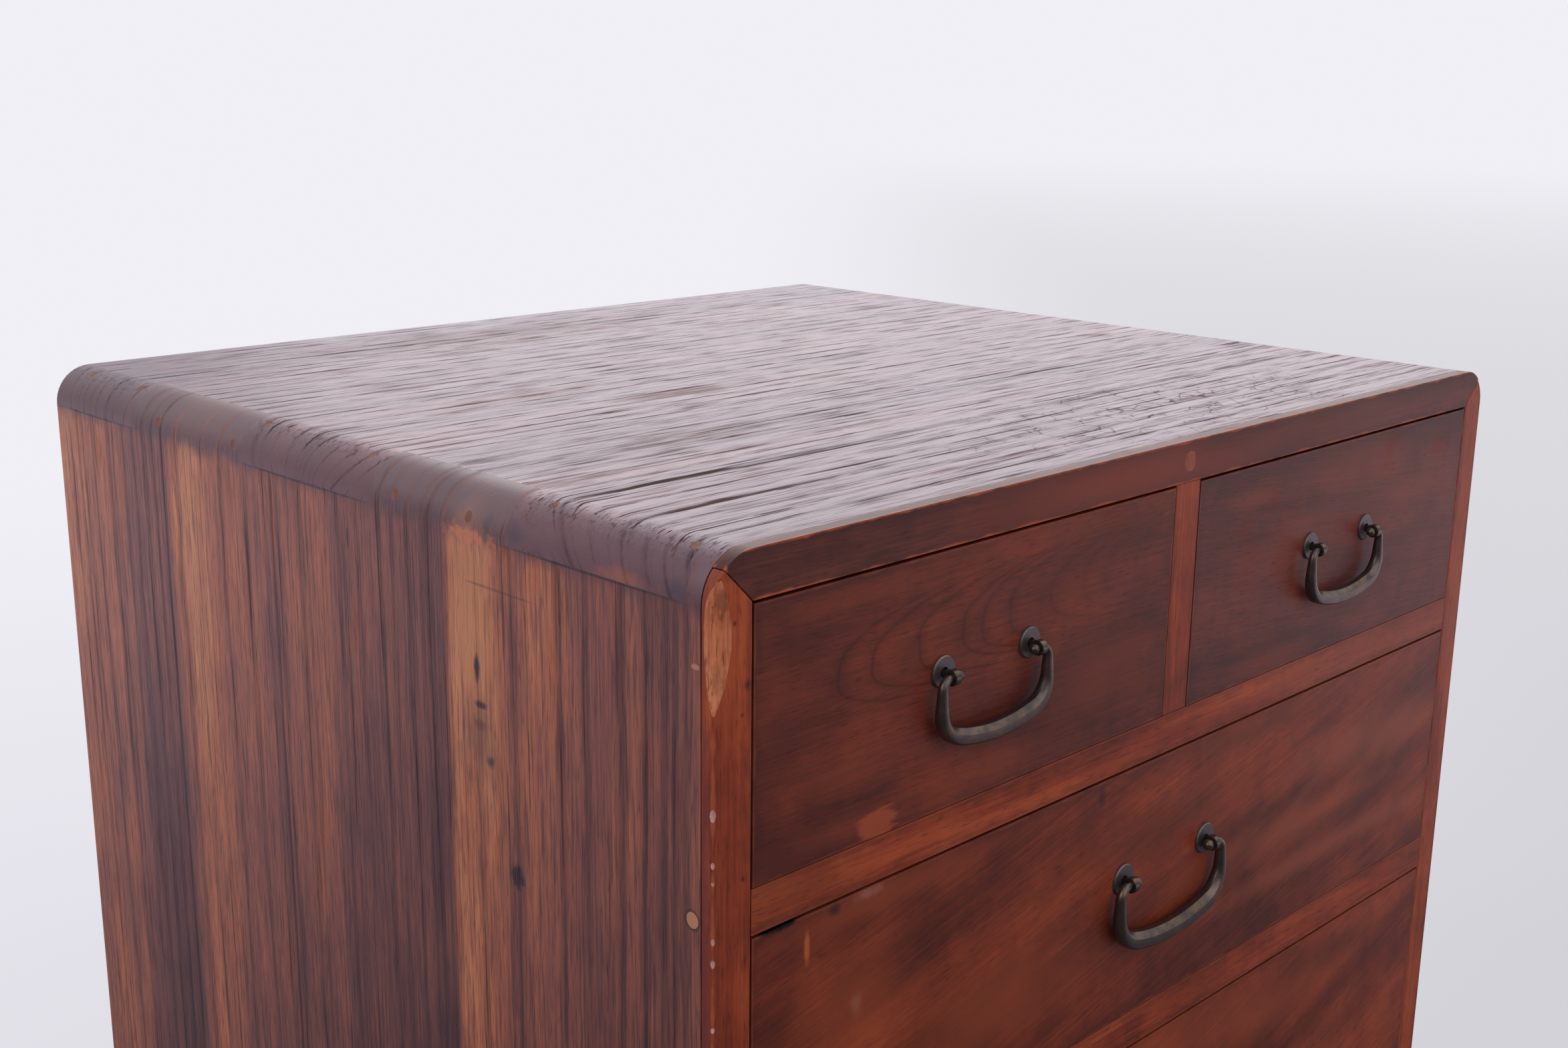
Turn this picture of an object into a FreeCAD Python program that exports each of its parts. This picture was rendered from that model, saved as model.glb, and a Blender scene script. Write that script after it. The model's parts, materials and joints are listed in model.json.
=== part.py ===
import FreeCAD, Part
import math
import os
from collections import namedtuple

# A small chest of drawers: two short drawers over three wide ones, in a pegged board case
# with finger-jointed corners and a mitred hardwood face frame.
# Lengths are in millimetres. X runs to the right, Y from the front to the back and Z up.
# The origin is the middle of the flat underside that the chest stands on.

# Case boards
case_width = 455.0
case_depth = 400.0
board_thickness = 15.0
edge_radius = 15.0
facing_thickness = 5.0

# Heights of the drawer openings, from the top row down
first_row_height = 85.5
second_row_height = 99.5
third_row_height = 113.5
fourth_row_height = 128.0
row_heights = (first_row_height, second_row_height, third_row_height, fourth_row_height)

# Rails between the rows, the upright between the short drawers, and the dust boards
rail_height = 14.5
rail_depth = 24.0
divider_width = 15.0
shelf_thickness = 7.0
shelf_lap = 5.0
housing_depth = 3.5
partition_housing = 2.5

# Back panel, in a rebate round the back edges
back_thickness = 7.0
back_rebate = 7.0

# Corner joints. The places are shares of the depth, counted from the front. Up to the first
# the boards are mitred, and from there top tongues and side tongues take turns.
finger_edge_shares = (0.0275, 0.23125, 0.415, 0.6275, 0.8325)
top_tongue_peg_shares = (0.041, 0.197, 0.438, 0.607, 0.853, 0.955)
side_tongue_peg_shares = (0.279, 0.380, 0.6405, 0.7825)

# Wooden pegs
corner_peg_diameter = 3.5
rail_peg_diameter = 5.0
case_peg_length = 26.0
upright_peg_inset = 8.6
level_peg_inset = 9.8
rail_peg_inset = 3.4
plug_diameter = 7.5
plug_length = 20.0
back_peg_diameter = 3.0
back_peg_length = 18.0
back_peg_height_shares = (0.25, 0.75)
back_peg_width_shares = (-0.8, -0.4, 0.4, 0.8)

# Drawers
drawer_front_thickness = 16.0
drawer_front_lap = 6.0
drawer_side_thickness = 9.0
drawer_side_setback = 0.5
drawer_side_drop = 1.5
drawer_back_thickness = 8.0
drawer_back_drop = 8.0
drawer_base_thickness = 6.0
drawer_side_clearance = 0.4
drawer_top_clearance = 1.0
drawer_run_clearance = 0.3
drawer_end_clearance = 0.5
drawer_finger_count = 3

# Split pins: a flat band bent to a ring eye, its two legs clenched behind the drawer front
band_width = 2.4
band_thickness = 1.0
eye_clearance = 0.25
pin_hole_clearance = 0.15
eye_droop = 0.8
pin_leg_length = 9.0
knob_gap = 0.3

# Rosettes
rosette_thickness = 1.0
rosette_bevel = 0.4

# Small handles, on the short drawers
small_pin_pitch = 43.0
small_leg_pitch = 52.4
small_drop = 24.8
small_rise = 3.5
small_eye_reach = 4.4
small_rosette_diameter = 10.6
small_end_diameter = 2.7
small_leg_diameter = 4.2
small_bar_height = 5.2
small_bar_depth = 4.6
small_bend_radius = 3.6
small_corner_radius = 10.0

# Large handles, on the wide drawers
large_pin_pitch = 53.0
large_leg_pitch = 65.2
large_drop = 29.0
large_rise = 7.0
large_eye_reach = 4.0
large_rosette_diameter = 12.0
large_end_diameter = 3.3
large_leg_diameter = 4.7
large_bar_height = 6.2
large_bar_depth = 5.2
large_bend_radius = 4.2
large_corner_radius = 12.5

# What the two sizes of handle have in common
bar_bow_angle = 15.0
bar_face_crown = 0.06
bar_inner_bevel_share = 0.34
bar_outer_bevel_share = 0.14
knob_swell = 1.3
eye_steps = 2
bend_steps = 5
leg_steps = 3
corner_steps = 6
bow_steps = 5

# How far a cutting solid runs past the wood that it cuts
overrun = 2.0

# Planes and spans that follow from the sizes above
half_width = case_width / 2
inner_half = half_width - board_thickness
front = -case_depth / 2
back = case_depth / 2
case_height = 2 * board_thickness + sum(row_heights) + (len(row_heights) - 1) * rail_height
facing_back = front + facing_thickness
rail_back = front + rail_depth
lap_front = rail_back - shelf_lap
panel_front = back - back_thickness
drawer_lap_plane = front + drawer_front_lap
drawer_inner_plane = front + drawer_front_thickness
drawer_back_plane = panel_front - drawer_end_clearance
drawer_rear_plane = drawer_back_plane - drawer_back_thickness
finger_edges = [front + share * case_depth for share in finger_edge_shares]
mitre_zone = (facing_back, finger_edges[0])
side_zones = [(finger_edges[1], finger_edges[2]), (finger_edges[3], finger_edges[4])]
top_zones = [
    (finger_edges[0], finger_edges[1]),
    (finger_edges[2], finger_edges[3]),
    (finger_edges[4], back + overrun),
]

left, right = -1, 1
bottom, top = -1, 1

Opening = namedtuple("Opening", "x_span z_span")
DrawerSizes = namedtuple("DrawerSizes", "x_span z_span box_span floor side_top back_top")
Handle = namedtuple(
    "Handle",
    "pin_pitch leg_pitch drop rise eye_reach rosette_diameter end_diameter leg_diameter "
    "bar_height bar_depth bend_radius corner_radius",
)
Station = namedtuple("Station", "x z heading diameter flatness")

small_handle = Handle(
    small_pin_pitch, small_leg_pitch, small_drop, small_rise, small_eye_reach,
    small_rosette_diameter, small_end_diameter, small_leg_diameter,
    small_bar_height, small_bar_depth, small_bend_radius, small_corner_radius,
)
large_handle = Handle(
    large_pin_pitch, large_leg_pitch, large_drop, large_rise, large_eye_reach,
    large_rosette_diameter, large_end_diameter, large_leg_diameter,
    large_bar_height, large_bar_depth, large_bend_radius, large_corner_radius,
)


# Basic solids

def block(x_span, y_span, z_span):
    x_span, y_span, z_span = sorted(x_span), sorted(y_span), sorted(z_span)
    low = FreeCAD.Vector(x_span[0], y_span[0], z_span[0])
    return Part.makeBox(x_span[1] - x_span[0], y_span[1] - y_span[0], z_span[1] - z_span[0], low)


def prism(outline, y_span):
    points = [FreeCAD.Vector(x, y_span[0], z) for x, z in outline]
    face = Part.Face(Part.makePolygon(points + points[:1]))
    return face.extrude(FreeCAD.Vector(0, y_span[1] - y_span[0], 0))


def rod(diameter, length, start, direction):
    return Part.makeCylinder(diameter / 2, length, FreeCAD.Vector(*start), FreeCAD.Vector(*direction))


def cut_all(solid, tools):
    return solid.cut(Part.makeCompound(tools))


# Rows, rails and openings

def row_spans():
    spans = []
    row_top = case_height - board_thickness
    for height in row_heights:
        spans.append((row_top - height, row_top))
        row_top -= height + rail_height
    return spans


def rail_spans():
    return [(low - rail_height, low) for low, high in row_spans()[:-1]]


def drawer_openings():
    first, *wide = row_spans()
    post = divider_width / 2
    openings = {
        "small_left": Opening((-inner_half, -post), first),
        "small_right": Opening((post, inner_half), first),
    }
    for name, span in zip(("second", "third", "fourth"), wide):
        openings[name] = Opening((-inner_half, inner_half), span)
    return openings


# Case envelope: the outline of the case from the front, its two top edges rounded over

def case_envelope():
    round_start = case_height - edge_radius
    inset = edge_radius * (1 - math.cos(math.radians(45)))

    def point(x, z):
        return FreeCAD.Vector(x, front, z)

    left_round = Part.Arc(
        point(-half_width, round_start),
        point(-half_width + inset, case_height - inset),
        point(-half_width + edge_radius, case_height),
    )
    right_round = Part.Arc(
        point(half_width - edge_radius, case_height),
        point(half_width - inset, case_height - inset),
        point(half_width, round_start),
    )
    edges = [
        Part.LineSegment(point(-half_width, 0), point(-half_width, round_start)),
        left_round,
        Part.LineSegment(point(-half_width + edge_radius, case_height),
                         point(half_width - edge_radius, case_height)),
        right_round,
        Part.LineSegment(point(half_width, round_start), point(half_width, 0)),
        Part.LineSegment(point(half_width, 0), point(-half_width, 0)),
    ]
    outline = Part.Wire([edge.toShape() for edge in edges])
    return Part.Face(outline).extrude(FreeCAD.Vector(0, case_depth, 0))


# Corner joints. side is left or right, level is bottom or top.

def level_planes(level):
    if level == top:
        return case_height - board_thickness, case_height
    return board_thickness, 0


def mitre_waste(side, level, y_span, of_upright):
    # What lies past the mitre plane: taken off the upright board, or off the level one.
    inner_x, outer_x = side * inner_half, side * half_width
    inner_z, outer_z = level_planes(level)
    past_x, past_z = outer_x + side * overrun, outer_z + level * overrun
    if of_upright:
        before_x = inner_x - side * overrun
        outline = [(inner_x, inner_z), (past_x, past_z), (before_x, past_z), (before_x, inner_z)]
    else:
        before_z = inner_z - level * overrun
        outline = [(inner_x, inner_z), (past_x, past_z), (past_x, before_z), (inner_x, before_z)]
    return prism(outline, y_span)


def upright_waste(side, level):
    # What the level board's tongues take out of the upright board at one corner.
    inner_z, outer_z = level_planes(level)
    x_span = (side * (inner_half - overrun), side * (half_width + overrun))
    waste = [block(x_span, zone, (inner_z, outer_z + level * overrun)) for zone in top_zones]
    return waste + [mitre_waste(side, level, mitre_zone, True)]


def level_waste(side, level):
    # What the upright board's tongues take out of the level board at one corner.
    inner_z, outer_z = level_planes(level)
    x_span = (side * inner_half, side * (half_width + overrun))
    z_span = (inner_z - level * overrun, outer_z + level * overrun)
    waste = [block(x_span, zone, z_span) for zone in side_zones]
    return waste + [mitre_waste(side, level, mitre_zone, False)]


# Pegs

def corner_pegs():
    pegs = []
    inward = half_width - upright_peg_inset
    for level in (bottom, top):
        outer_z = level_planes(level)[1]
        peg_z = outer_z - level * level_peg_inset
        for side in (left, right):
            for share in top_tongue_peg_shares:
                start = (side * inward, front + share * case_depth, outer_z)
                pegs.append(rod(corner_peg_diameter, case_peg_length, start, (0, 0, -level)))
            for share in side_tongue_peg_shares:
                start = (side * half_width, front + share * case_depth, peg_z)
                pegs.append(rod(corner_peg_diameter, case_peg_length, start, (-side, 0, 0)))
    return pegs


def rail_pegs():
    pegs = []
    for low, high in rail_spans():
        for side in (left, right):
            start = (side * half_width, facing_back + rail_peg_inset, (low + high) / 2)
            pegs.append(rod(rail_peg_diameter, case_peg_length, start, (-side, 0, 0)))
    return pegs


def facing_plug():
    start = (0, front, case_height - board_thickness / 2)
    return rod(plug_diameter, plug_length, start, (0, 1, 0))


def back_pegs():
    places = []
    for side in (left, right):
        for low, high in row_spans():
            for share in back_peg_height_shares:
                places.append((side * (inner_half + back_rebate / 2), low + share * (high - low)))
    for share in back_peg_width_shares:
        for level in (bottom, top):
            inner_z = level_planes(level)[0]
            places.append((share * inner_half, inner_z + level * back_rebate / 2))
    return [rod(back_peg_diameter, back_peg_length, (x, back, z), (0, -1, 0)) for x, z in places]


# Case pieces

def back_panel_block():
    reach = inner_half + back_rebate
    z_span = (board_thickness - back_rebate, case_height - board_thickness + back_rebate)
    return block((-reach, reach), (panel_front, back), z_span)


def shelf_block(rail_span):
    reach = inner_half + housing_depth
    z_span = (rail_span[1] - shelf_thickness, rail_span[1])
    return block((-reach, reach), (lap_front, panel_front), z_span)


def rail_block(rail_span):
    face = block((-inner_half, inner_half), (front, rail_back), rail_span)
    reach = inner_half + housing_depth
    housed = block((-reach, reach), (facing_back, lap_front), rail_span)
    return face.fuse(housed).removeSplitter()


def divider_block():
    post = divider_width / 2
    low, high = row_spans()[0]
    face = block((-post, post), (front, rail_back), (low, high))
    housed_z = (low - housing_depth, high + housing_depth)
    return face.fuse(block((-post, post), (facing_back, lap_front), housed_z)).removeSplitter()


def partition_block():
    post = divider_width / 2
    low, high = row_spans()[0]
    z_span = (low - partition_housing, high + partition_housing)
    return block((-post, post), (rail_back, panel_front), z_span)


def side_board(side, envelope, pegs):
    y_span = (facing_back, back)
    board = block((side * inner_half, side * half_width), y_span, (0, case_height))
    waste = upright_waste(side, bottom) + upright_waste(side, top) + [back_panel_block()]
    for span in rail_spans():
        waste += [rail_block(span), shelf_block(span)]
    return cut_all(board, waste + pegs).common(envelope)


def level_board(level, envelope, pegs):
    board = block((-half_width, half_width), (facing_back, back), level_planes(level))
    waste = level_waste(left, level) + level_waste(right, level) + [back_panel_block()]
    waste += [divider_block(), partition_block()]
    return cut_all(board, waste + pegs).common(envelope)


def upright_facing(side, envelope):
    y_span = (front, facing_back)
    strip = block((side * inner_half, side * half_width), y_span, (0, case_height))
    waste = [mitre_waste(side, level, y_span, True) for level in (bottom, top)]
    return cut_all(strip, waste).common(envelope)


def level_facing(level, envelope):
    y_span = (front, facing_back)
    strip = block((-half_width, half_width), y_span, level_planes(level))
    waste = [mitre_waste(side, level, y_span, False) for side in (left, right)]
    return cut_all(strip, waste + [facing_plug()]).common(envelope)


def case_pieces():
    envelope = case_envelope()
    corner = [peg.common(envelope) for peg in corner_pegs()]
    plug = facing_plug()
    back_group = back_pegs()
    pegs = corner + rail_pegs() + back_group + [plug]
    pieces = {
        "left_side": side_board(left, envelope, pegs),
        "right_side": side_board(right, envelope, pegs),
        "top_board": level_board(top, envelope, pegs),
        "bottom_board": level_board(bottom, envelope, pegs),
        "back_panel": cut_all(back_panel_block(), pegs),
        "facing_left": upright_facing(left, envelope),
        "facing_right": upright_facing(right, envelope),
        "facing_top": level_facing(top, envelope),
        "facing_bottom": level_facing(bottom, envelope),
        "divider_post": cut_all(divider_block(), [plug]),
        "partition_board": partition_block(),
        "case_pegs": Part.makeCompound(corner + rail_pegs()),
        "facing_plug": plug,
        "back_pegs": Part.makeCompound(back_group),
    }
    for name, span in zip(("upper", "middle", "lower"), rail_spans()):
        housings = [divider_block(), partition_block()]
        pieces[name + "_shelf"] = cut_all(shelf_block(span), housings + pegs)
        pieces[name + "_rail"] = cut_all(rail_block(span), [shelf_block(span)] + housings + pegs)
    return pieces


# Drawer boxes

def drawer_sizes(opening):
    x_low, x_high = opening.x_span[0] + drawer_side_clearance, opening.x_span[1] - drawer_side_clearance
    z_low, z_high = opening.z_span[0] + drawer_run_clearance, opening.z_span[1] - drawer_top_clearance
    return DrawerSizes(
        x_span=(x_low, x_high),
        z_span=(z_low, z_high),
        box_span=(x_low + drawer_side_setback, x_high - drawer_side_setback),
        floor=z_low + drawer_base_thickness,
        side_top=z_high - drawer_side_drop,
        back_top=z_high - drawer_back_drop,
    )


def drawer_side_planes(sizes, side):
    # The inner and the outer plane of one side of the drawer.
    outer = sizes.box_span[0] if side == left else sizes.box_span[1]
    return outer - side * drawer_side_thickness, outer


def rear_finger_spans(sizes):
    # The rear corners are finger jointed: the sides' tongues and the back's, from the floor up.
    height = (sizes.back_top - sizes.floor) / drawer_finger_count
    spans = [(sizes.floor + i * height, sizes.floor + (i + 1) * height) for i in range(drawer_finger_count)]
    return spans[::2], spans[1::2]


def drawer_front(sizes, pin_holes):
    (x_low, x_high), (z_low, z_high) = sizes.x_span, sizes.z_span
    face = block(sizes.x_span, (front, drawer_inner_plane), sizes.z_span)
    lap_y = (drawer_lap_plane, drawer_inner_plane + overrun)
    waste = [block((x_low - overrun, x_high + overrun), lap_y, (z_low - overrun, sizes.floor))]
    for side in (left, right):
        inner, outer = drawer_side_planes(sizes, side)
        waste.append(block((inner, outer + side * overrun), lap_y, (z_low - overrun, z_high + overrun)))
    return cut_all(face, waste + pin_holes)


def drawer_side(sizes, side):
    x_span = drawer_side_planes(sizes, side)
    board = block(x_span, (drawer_lap_plane, drawer_back_plane), (sizes.floor, sizes.side_top))
    back_tongues = rear_finger_spans(sizes)[1]
    rear_y = (drawer_rear_plane, drawer_back_plane + overrun)
    return cut_all(board, [block(x_span, rear_y, span) for span in back_tongues])


def drawer_rear(sizes):
    y_span = (drawer_rear_plane, drawer_back_plane)
    board = block(sizes.box_span, y_span, (sizes.floor, sizes.back_top))
    side_tongues = rear_finger_spans(sizes)[0]
    sides = [drawer_side_planes(sizes, side) for side in (left, right)]
    return cut_all(board, [block(x_span, y_span, span) for x_span in sides for span in side_tongues])


def drawer_base(sizes):
    y_span = (drawer_lap_plane, drawer_back_plane)
    return block(sizes.box_span, y_span, (sizes.z_span[0], sizes.floor))


def drawer_box(opening, pin_holes):
    sizes = drawer_sizes(opening)
    return {
        "front": drawer_front(sizes, pin_holes),
        "left_side": drawer_side(sizes, left),
        "right_side": drawer_side(sizes, right),
        "back": drawer_rear(sizes),
        "base": drawer_base(sizes),
    }


# Handles

def eye_inner_diameter(handle):
    return handle.end_diameter + 2 * eye_clearance


def pin_places(opening, handle):
    x_middle = sum(opening.x_span) / 2
    height = sum(opening.z_span) / 2 + handle.rise
    return [(x_middle + side * handle.pin_pitch / 2, height) for side in (left, right)]


def pin_hole(place):
    x, z = place
    start = (x, front - overrun, z)
    diameter = 2 * (math.hypot(band_width / 2, band_thickness) + pin_hole_clearance)
    return rod(diameter, drawer_inner_plane + overrun - start[1], start, (0, 1, 0))


def split_pin(place, handle):
    x, z = place
    inner = eye_inner_diameter(handle)
    outer = inner + 2 * band_thickness
    x_span = (x - band_width / 2, x + band_width / 2)
    eye_y = front - handle.eye_reach
    start = (x_span[0], eye_y, z - eye_droop)
    eye = rod(outer, band_width, start, (1, 0, 0))
    neck_y = (eye_y + inner / 2, drawer_inner_plane)
    neck = block(x_span, neck_y, (z - band_thickness, z + band_thickness))
    legs_y = (neck_y[1], neck_y[1] + band_thickness)
    legs = block(x_span, legs_y, (z - pin_leg_length, z + pin_leg_length))
    pin = eye.fuse([neck, legs]).removeSplitter()
    return pin.cut(rod(inner, band_width, start, (1, 0, 0)))


def rosette(place, handle):
    x, z = place
    flat = rosette_thickness - rosette_bevel
    radius = handle.rosette_diameter / 2
    plate = rod(handle.rosette_diameter, flat, (x, front, z), (0, -1, 0))
    rim_base = FreeCAD.Vector(x, front - flat, z)
    rim = Part.makeCone(radius, radius - rosette_bevel, rosette_bevel, rim_base, FreeCAD.Vector(0, -1, 0))
    return plate.fuse(rim).removeSplitter().cut(pin_hole(place))


class CentreLine:
    # A centre line in the plane of the bail, drawn from inside one eye, with the stations that
    # the bail's sections stand at. It starts level, and every turn bends it clockwise.

    def __init__(self, x, diameter):
        self.x, self.z, self.heading = x, 0, 0
        self.diameter, self.flatness = diameter, 0
        self.stations = [self.station()]

    def station(self):
        return Station(self.x, self.z, self.heading, self.diameter, self.flatness)

    def run(self, length, steps, end_diameter):
        start = self.station()
        for step in range(1, steps + 1):
            share = step / steps
            self.x = start.x + share * length * math.cos(start.heading)
            self.z = start.z + share * length * math.sin(start.heading)
            self.diameter = start.diameter + share * (end_diameter - start.diameter)
            self.stations.append(self.station())

    def turn(self, radius, angle, steps, end_diameter, end_flatness):
        start = self.station()
        middle_x = start.x + radius * math.sin(start.heading)
        middle_z = start.z - radius * math.cos(start.heading)
        for step in range(1, steps + 1):
            share = step / steps
            self.heading = start.heading - share * angle
            self.x = middle_x - radius * math.sin(self.heading)
            self.z = middle_z + radius * math.cos(self.heading)
            self.diameter = start.diameter + share * (end_diameter - start.diameter)
            self.flatness = start.flatness + share * (end_flatness - start.flatness)
            self.stations.append(self.station())


def bail_stations(handle):
    # One half of the bail: out through the eye, round the bend, down the leg, round the corner
    # and along the bowed bar to the middle. The bar's middle line lies bar_drop below the eye.
    bow = math.radians(bar_bow_angle)
    square = math.radians(90)
    half_legs = handle.leg_pitch / 2
    bar_drop = handle.drop - handle.bar_height / 2
    bow_radius = handle.corner_radius + (half_legs - handle.corner_radius) / math.sin(bow)
    corner_rise = bow_radius - (bow_radius - handle.corner_radius) * math.cos(bow)
    leg_length = bar_drop - corner_rise - handle.bend_radius
    taper = (handle.leg_diameter - handle.end_diameter) / (handle.bend_radius + leg_length)
    bent_diameter = handle.end_diameter + taper * handle.bend_radius
    bar_diameter = (handle.bar_height + handle.bar_depth) / 2
    inside = handle.pin_pitch / 2 - band_width / 2 - knob_gap
    line = CentreLine(inside, handle.end_diameter)
    line.run(half_legs - handle.bend_radius - inside, eye_steps, handle.end_diameter)
    line.turn(handle.bend_radius, square, bend_steps, bent_diameter, 0)
    line.run(leg_length, leg_steps, handle.leg_diameter)
    line.turn(handle.corner_radius, square - bow, corner_steps, bar_diameter, 1)
    line.turn(bow_radius, bow, bow_steps, bar_diameter, 1)
    return line.stations


def bar_outline(handle):
    # The bar's cut end, as (inward, backward) corners: a flat front, a broad bevel on the
    # inner front edge and narrow bevels elsewhere.
    high, deep = handle.bar_height / 2, handle.bar_depth / 2
    broad = bar_inner_bevel_share * handle.bar_height
    narrow = bar_outer_bevel_share * handle.bar_height
    return [
        (-high, narrow - deep), (narrow - high, -deep), (high - broad, -deep), (high, broad - deep),
        (high, deep - narrow), (high - narrow, deep), (narrow - high, deep), (-high, deep - narrow),
    ]


def section_corners(handle, station):
    # The section's corners go from a regular polygon on the legs to the bar's cut end.
    outline = bar_outline(handle)
    turn = 2 * math.pi / len(outline)
    radius = station.diameter / 2
    corners = []
    for i, (inward, backward) in enumerate(outline):
        angle = math.pi + (i + 0.5) * turn
        round_inward, round_backward = radius * math.cos(angle), radius * math.sin(angle)
        corners.append((
            round_inward + station.flatness * (inward - round_inward),
            round_backward + station.flatness * (backward - round_backward),
        ))
    return corners


def bail_section(handle, station, mirrored):
    # A closed wire of arcs across the bail: round on the legs, flat-faced on the bar.
    corners = section_corners(handle, station)
    across_x, across_z = math.sin(station.heading), -math.cos(station.heading)
    round_crown = station.diameter / 2 * (1 - math.cos(math.pi / len(corners)))
    crown = round_crown + station.flatness * (bar_face_crown - round_crown)

    def point(inward, backward):
        x = station.x + inward * across_x
        z = station.z + inward * across_z
        return FreeCAD.Vector(-x if mirrored else x, backward, z)

    edges = []
    for start, end in zip(corners, corners[1:] + corners[:1]):
        reach = math.hypot(end[0] - start[0], end[1] - start[1])
        crest = (
            (start[0] + end[0]) / 2 + crown * (end[1] - start[1]) / reach,
            (start[1] + end[1]) / 2 + crown * (start[0] - end[0]) / reach,
        )
        edges.append(Part.Arc(point(*start), point(*crest), point(*end)).toShape())
    return Part.Wire(edges)


def bail(handle):
    # The bail about its own axis: the origin lies on the line through the two ring eyes.
    stations = bail_stations(handle)
    sections = [bail_section(handle, station, True) for station in stations]
    sections += [bail_section(handle, station, False) for station in reversed(stations[:-1])]
    shape = Part.makeLoft(sections, True, False)
    radius = knob_swell * handle.end_diameter / 2
    for side in (left, right):
        knob_x = side * (stations[0].x - math.sqrt(radius ** 2 - (handle.end_diameter / 2) ** 2))
        shape = shape.fuse(Part.makeSphere(radius, FreeCAD.Vector(knob_x, 0, 0)))
    return shape.removeSplitter()


def handle_pieces(opening, handle, bail_shape):
    places = pin_places(opening, handle)
    hanging = bail_shape.copy()
    axis_height = places[0][1] - eye_droop
    hanging.translate(FreeCAD.Vector(sum(opening.x_span) / 2, front - handle.eye_reach, axis_height))
    return {
        "rosettes": Part.makeCompound([rosette(place, handle) for place in places]),
        "split_pins": Part.makeCompound([split_pin(place, handle) for place in places]),
        "bail": hanging,
    }


def drawer_pieces():
    pieces = {}
    bails = {small_handle: bail(small_handle), large_handle: bail(large_handle)}
    for name, opening in drawer_openings().items():
        handle = small_handle if name.startswith("small") else large_handle
        holes = [pin_hole(place) for place in pin_places(opening, handle)]
        parts = drawer_box(opening, holes)
        parts.update(handle_pieces(opening, handle, bails[handle]))
        for part_name, shape in parts.items():
            pieces[name + "_" + part_name] = shape
    return pieces


def main():
    os.makedirs("parts", exist_ok=True)
    pieces = case_pieces()
    pieces.update(drawer_pieces())
    for name, shape in pieces.items():
        shape.exportStep("parts/" + name + ".step")


main()
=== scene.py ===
import json
import math

import bpy
from mathutils import Matrix, Vector


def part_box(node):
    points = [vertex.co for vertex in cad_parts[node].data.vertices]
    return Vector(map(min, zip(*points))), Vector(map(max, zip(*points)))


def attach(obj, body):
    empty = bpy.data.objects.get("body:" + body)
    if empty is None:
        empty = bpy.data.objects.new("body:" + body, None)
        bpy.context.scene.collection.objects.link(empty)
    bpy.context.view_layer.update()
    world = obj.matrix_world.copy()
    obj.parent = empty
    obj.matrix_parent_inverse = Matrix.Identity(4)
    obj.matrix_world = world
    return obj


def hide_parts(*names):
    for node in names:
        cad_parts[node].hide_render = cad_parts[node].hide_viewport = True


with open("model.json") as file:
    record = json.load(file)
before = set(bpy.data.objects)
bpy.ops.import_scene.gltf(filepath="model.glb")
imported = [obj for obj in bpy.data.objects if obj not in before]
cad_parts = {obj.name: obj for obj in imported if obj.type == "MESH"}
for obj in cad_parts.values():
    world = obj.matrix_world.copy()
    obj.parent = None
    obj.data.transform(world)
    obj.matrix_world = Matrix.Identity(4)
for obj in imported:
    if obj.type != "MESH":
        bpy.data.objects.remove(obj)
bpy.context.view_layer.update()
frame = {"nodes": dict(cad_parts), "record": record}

nodes = frame["nodes"]
bodyOf = {node: body for body, names in frame["record"]["behaviour"]["bodies"].items() for node in names}
mm = 0.001
print("frame loaded:", len(nodes), "nodes")


# small helpers for node trees


def paint(red, green, blue):
    # a colour as a painter reads it off a chart, 0 to 255, turned to the linear values a shader takes
    def linear(value):
        value = value / 255
        return value / 12.92 if value <= 0.04045 else ((value + 0.055) / 1.055) ** 2.4

    return linear(red), linear(green), linear(blue), 1


def put(tree, kind, inputs=(), **settings):
    # one node with its settings; an input is a value or the socket that feeds it
    made = tree.nodes.new("ShaderNode" + kind)
    for name, value in settings.items():
        setattr(made, name, value)
    for name, value in dict(inputs).items():
        if isinstance(value, bpy.types.NodeSocket):
            tree.links.new(value, made.inputs[name])
        else:
            made.inputs[name].default_value = value
    return made


def calc(tree, operation, first, second=0.0, third=0.0, clamp=False):
    return put(tree, "Math", {0: first, 1: second, 2: third}, operation=operation, use_clamp=clamp).outputs[0]


def times(tree, first, second):
    return calc(tree, "MULTIPLY", first, second)


def add(tree, base, pattern, share):
    # the base with a share of the pattern on top of it
    return calc(tree, "MULTIPLY_ADD", pattern, share, base)


def sway(tree, base, pattern, contrast):
    # the base moved up and down by a pattern that runs from 0 to 1
    return add(tree, base, calc(tree, "SUBTRACT", pattern, 0.5), contrast)


def fade(tree, value, low, high, lowResult=0.0, highResult=1.0):
    # a soft step of value from low to high
    inputs = {"Value": value, "From Min": low, "From Max": high, "To Min": lowResult, "To Max": highResult}
    return put(tree, "MapRange", inputs, interpolation_type="SMOOTHSTEP").outputs[0]


def between(tree, share, first, second):
    return fade(tree, share, 0.0, 1.0, first, second)


def blend(tree, share, first, second):
    return put(tree, "Mix", {0: share, 6: first, 7: second}, data_type="RGBA").outputs[2]


def ramp(tree, value, stops):
    made = put(tree, "ValToRGB", {"Fac": value})
    elements = made.color_ramp.elements
    while len(elements) < len(stops):
        elements.new(0.5)
    for element, (place, colour) in zip(elements, stops):
        element.position = place
        element.color = colour
    return made.outputs[0]


def vector(tree, operation, first, second=(0, 0, 0)):
    made = put(tree, "VectorMath", {0: first, 1: second}, operation=operation).outputs
    return made["Value" if operation in ("LENGTH", "DOT_PRODUCT") else "Vector"]


def parted(tree, place):
    return put(tree, "SeparateXYZ", {0: place}).outputs


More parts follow.
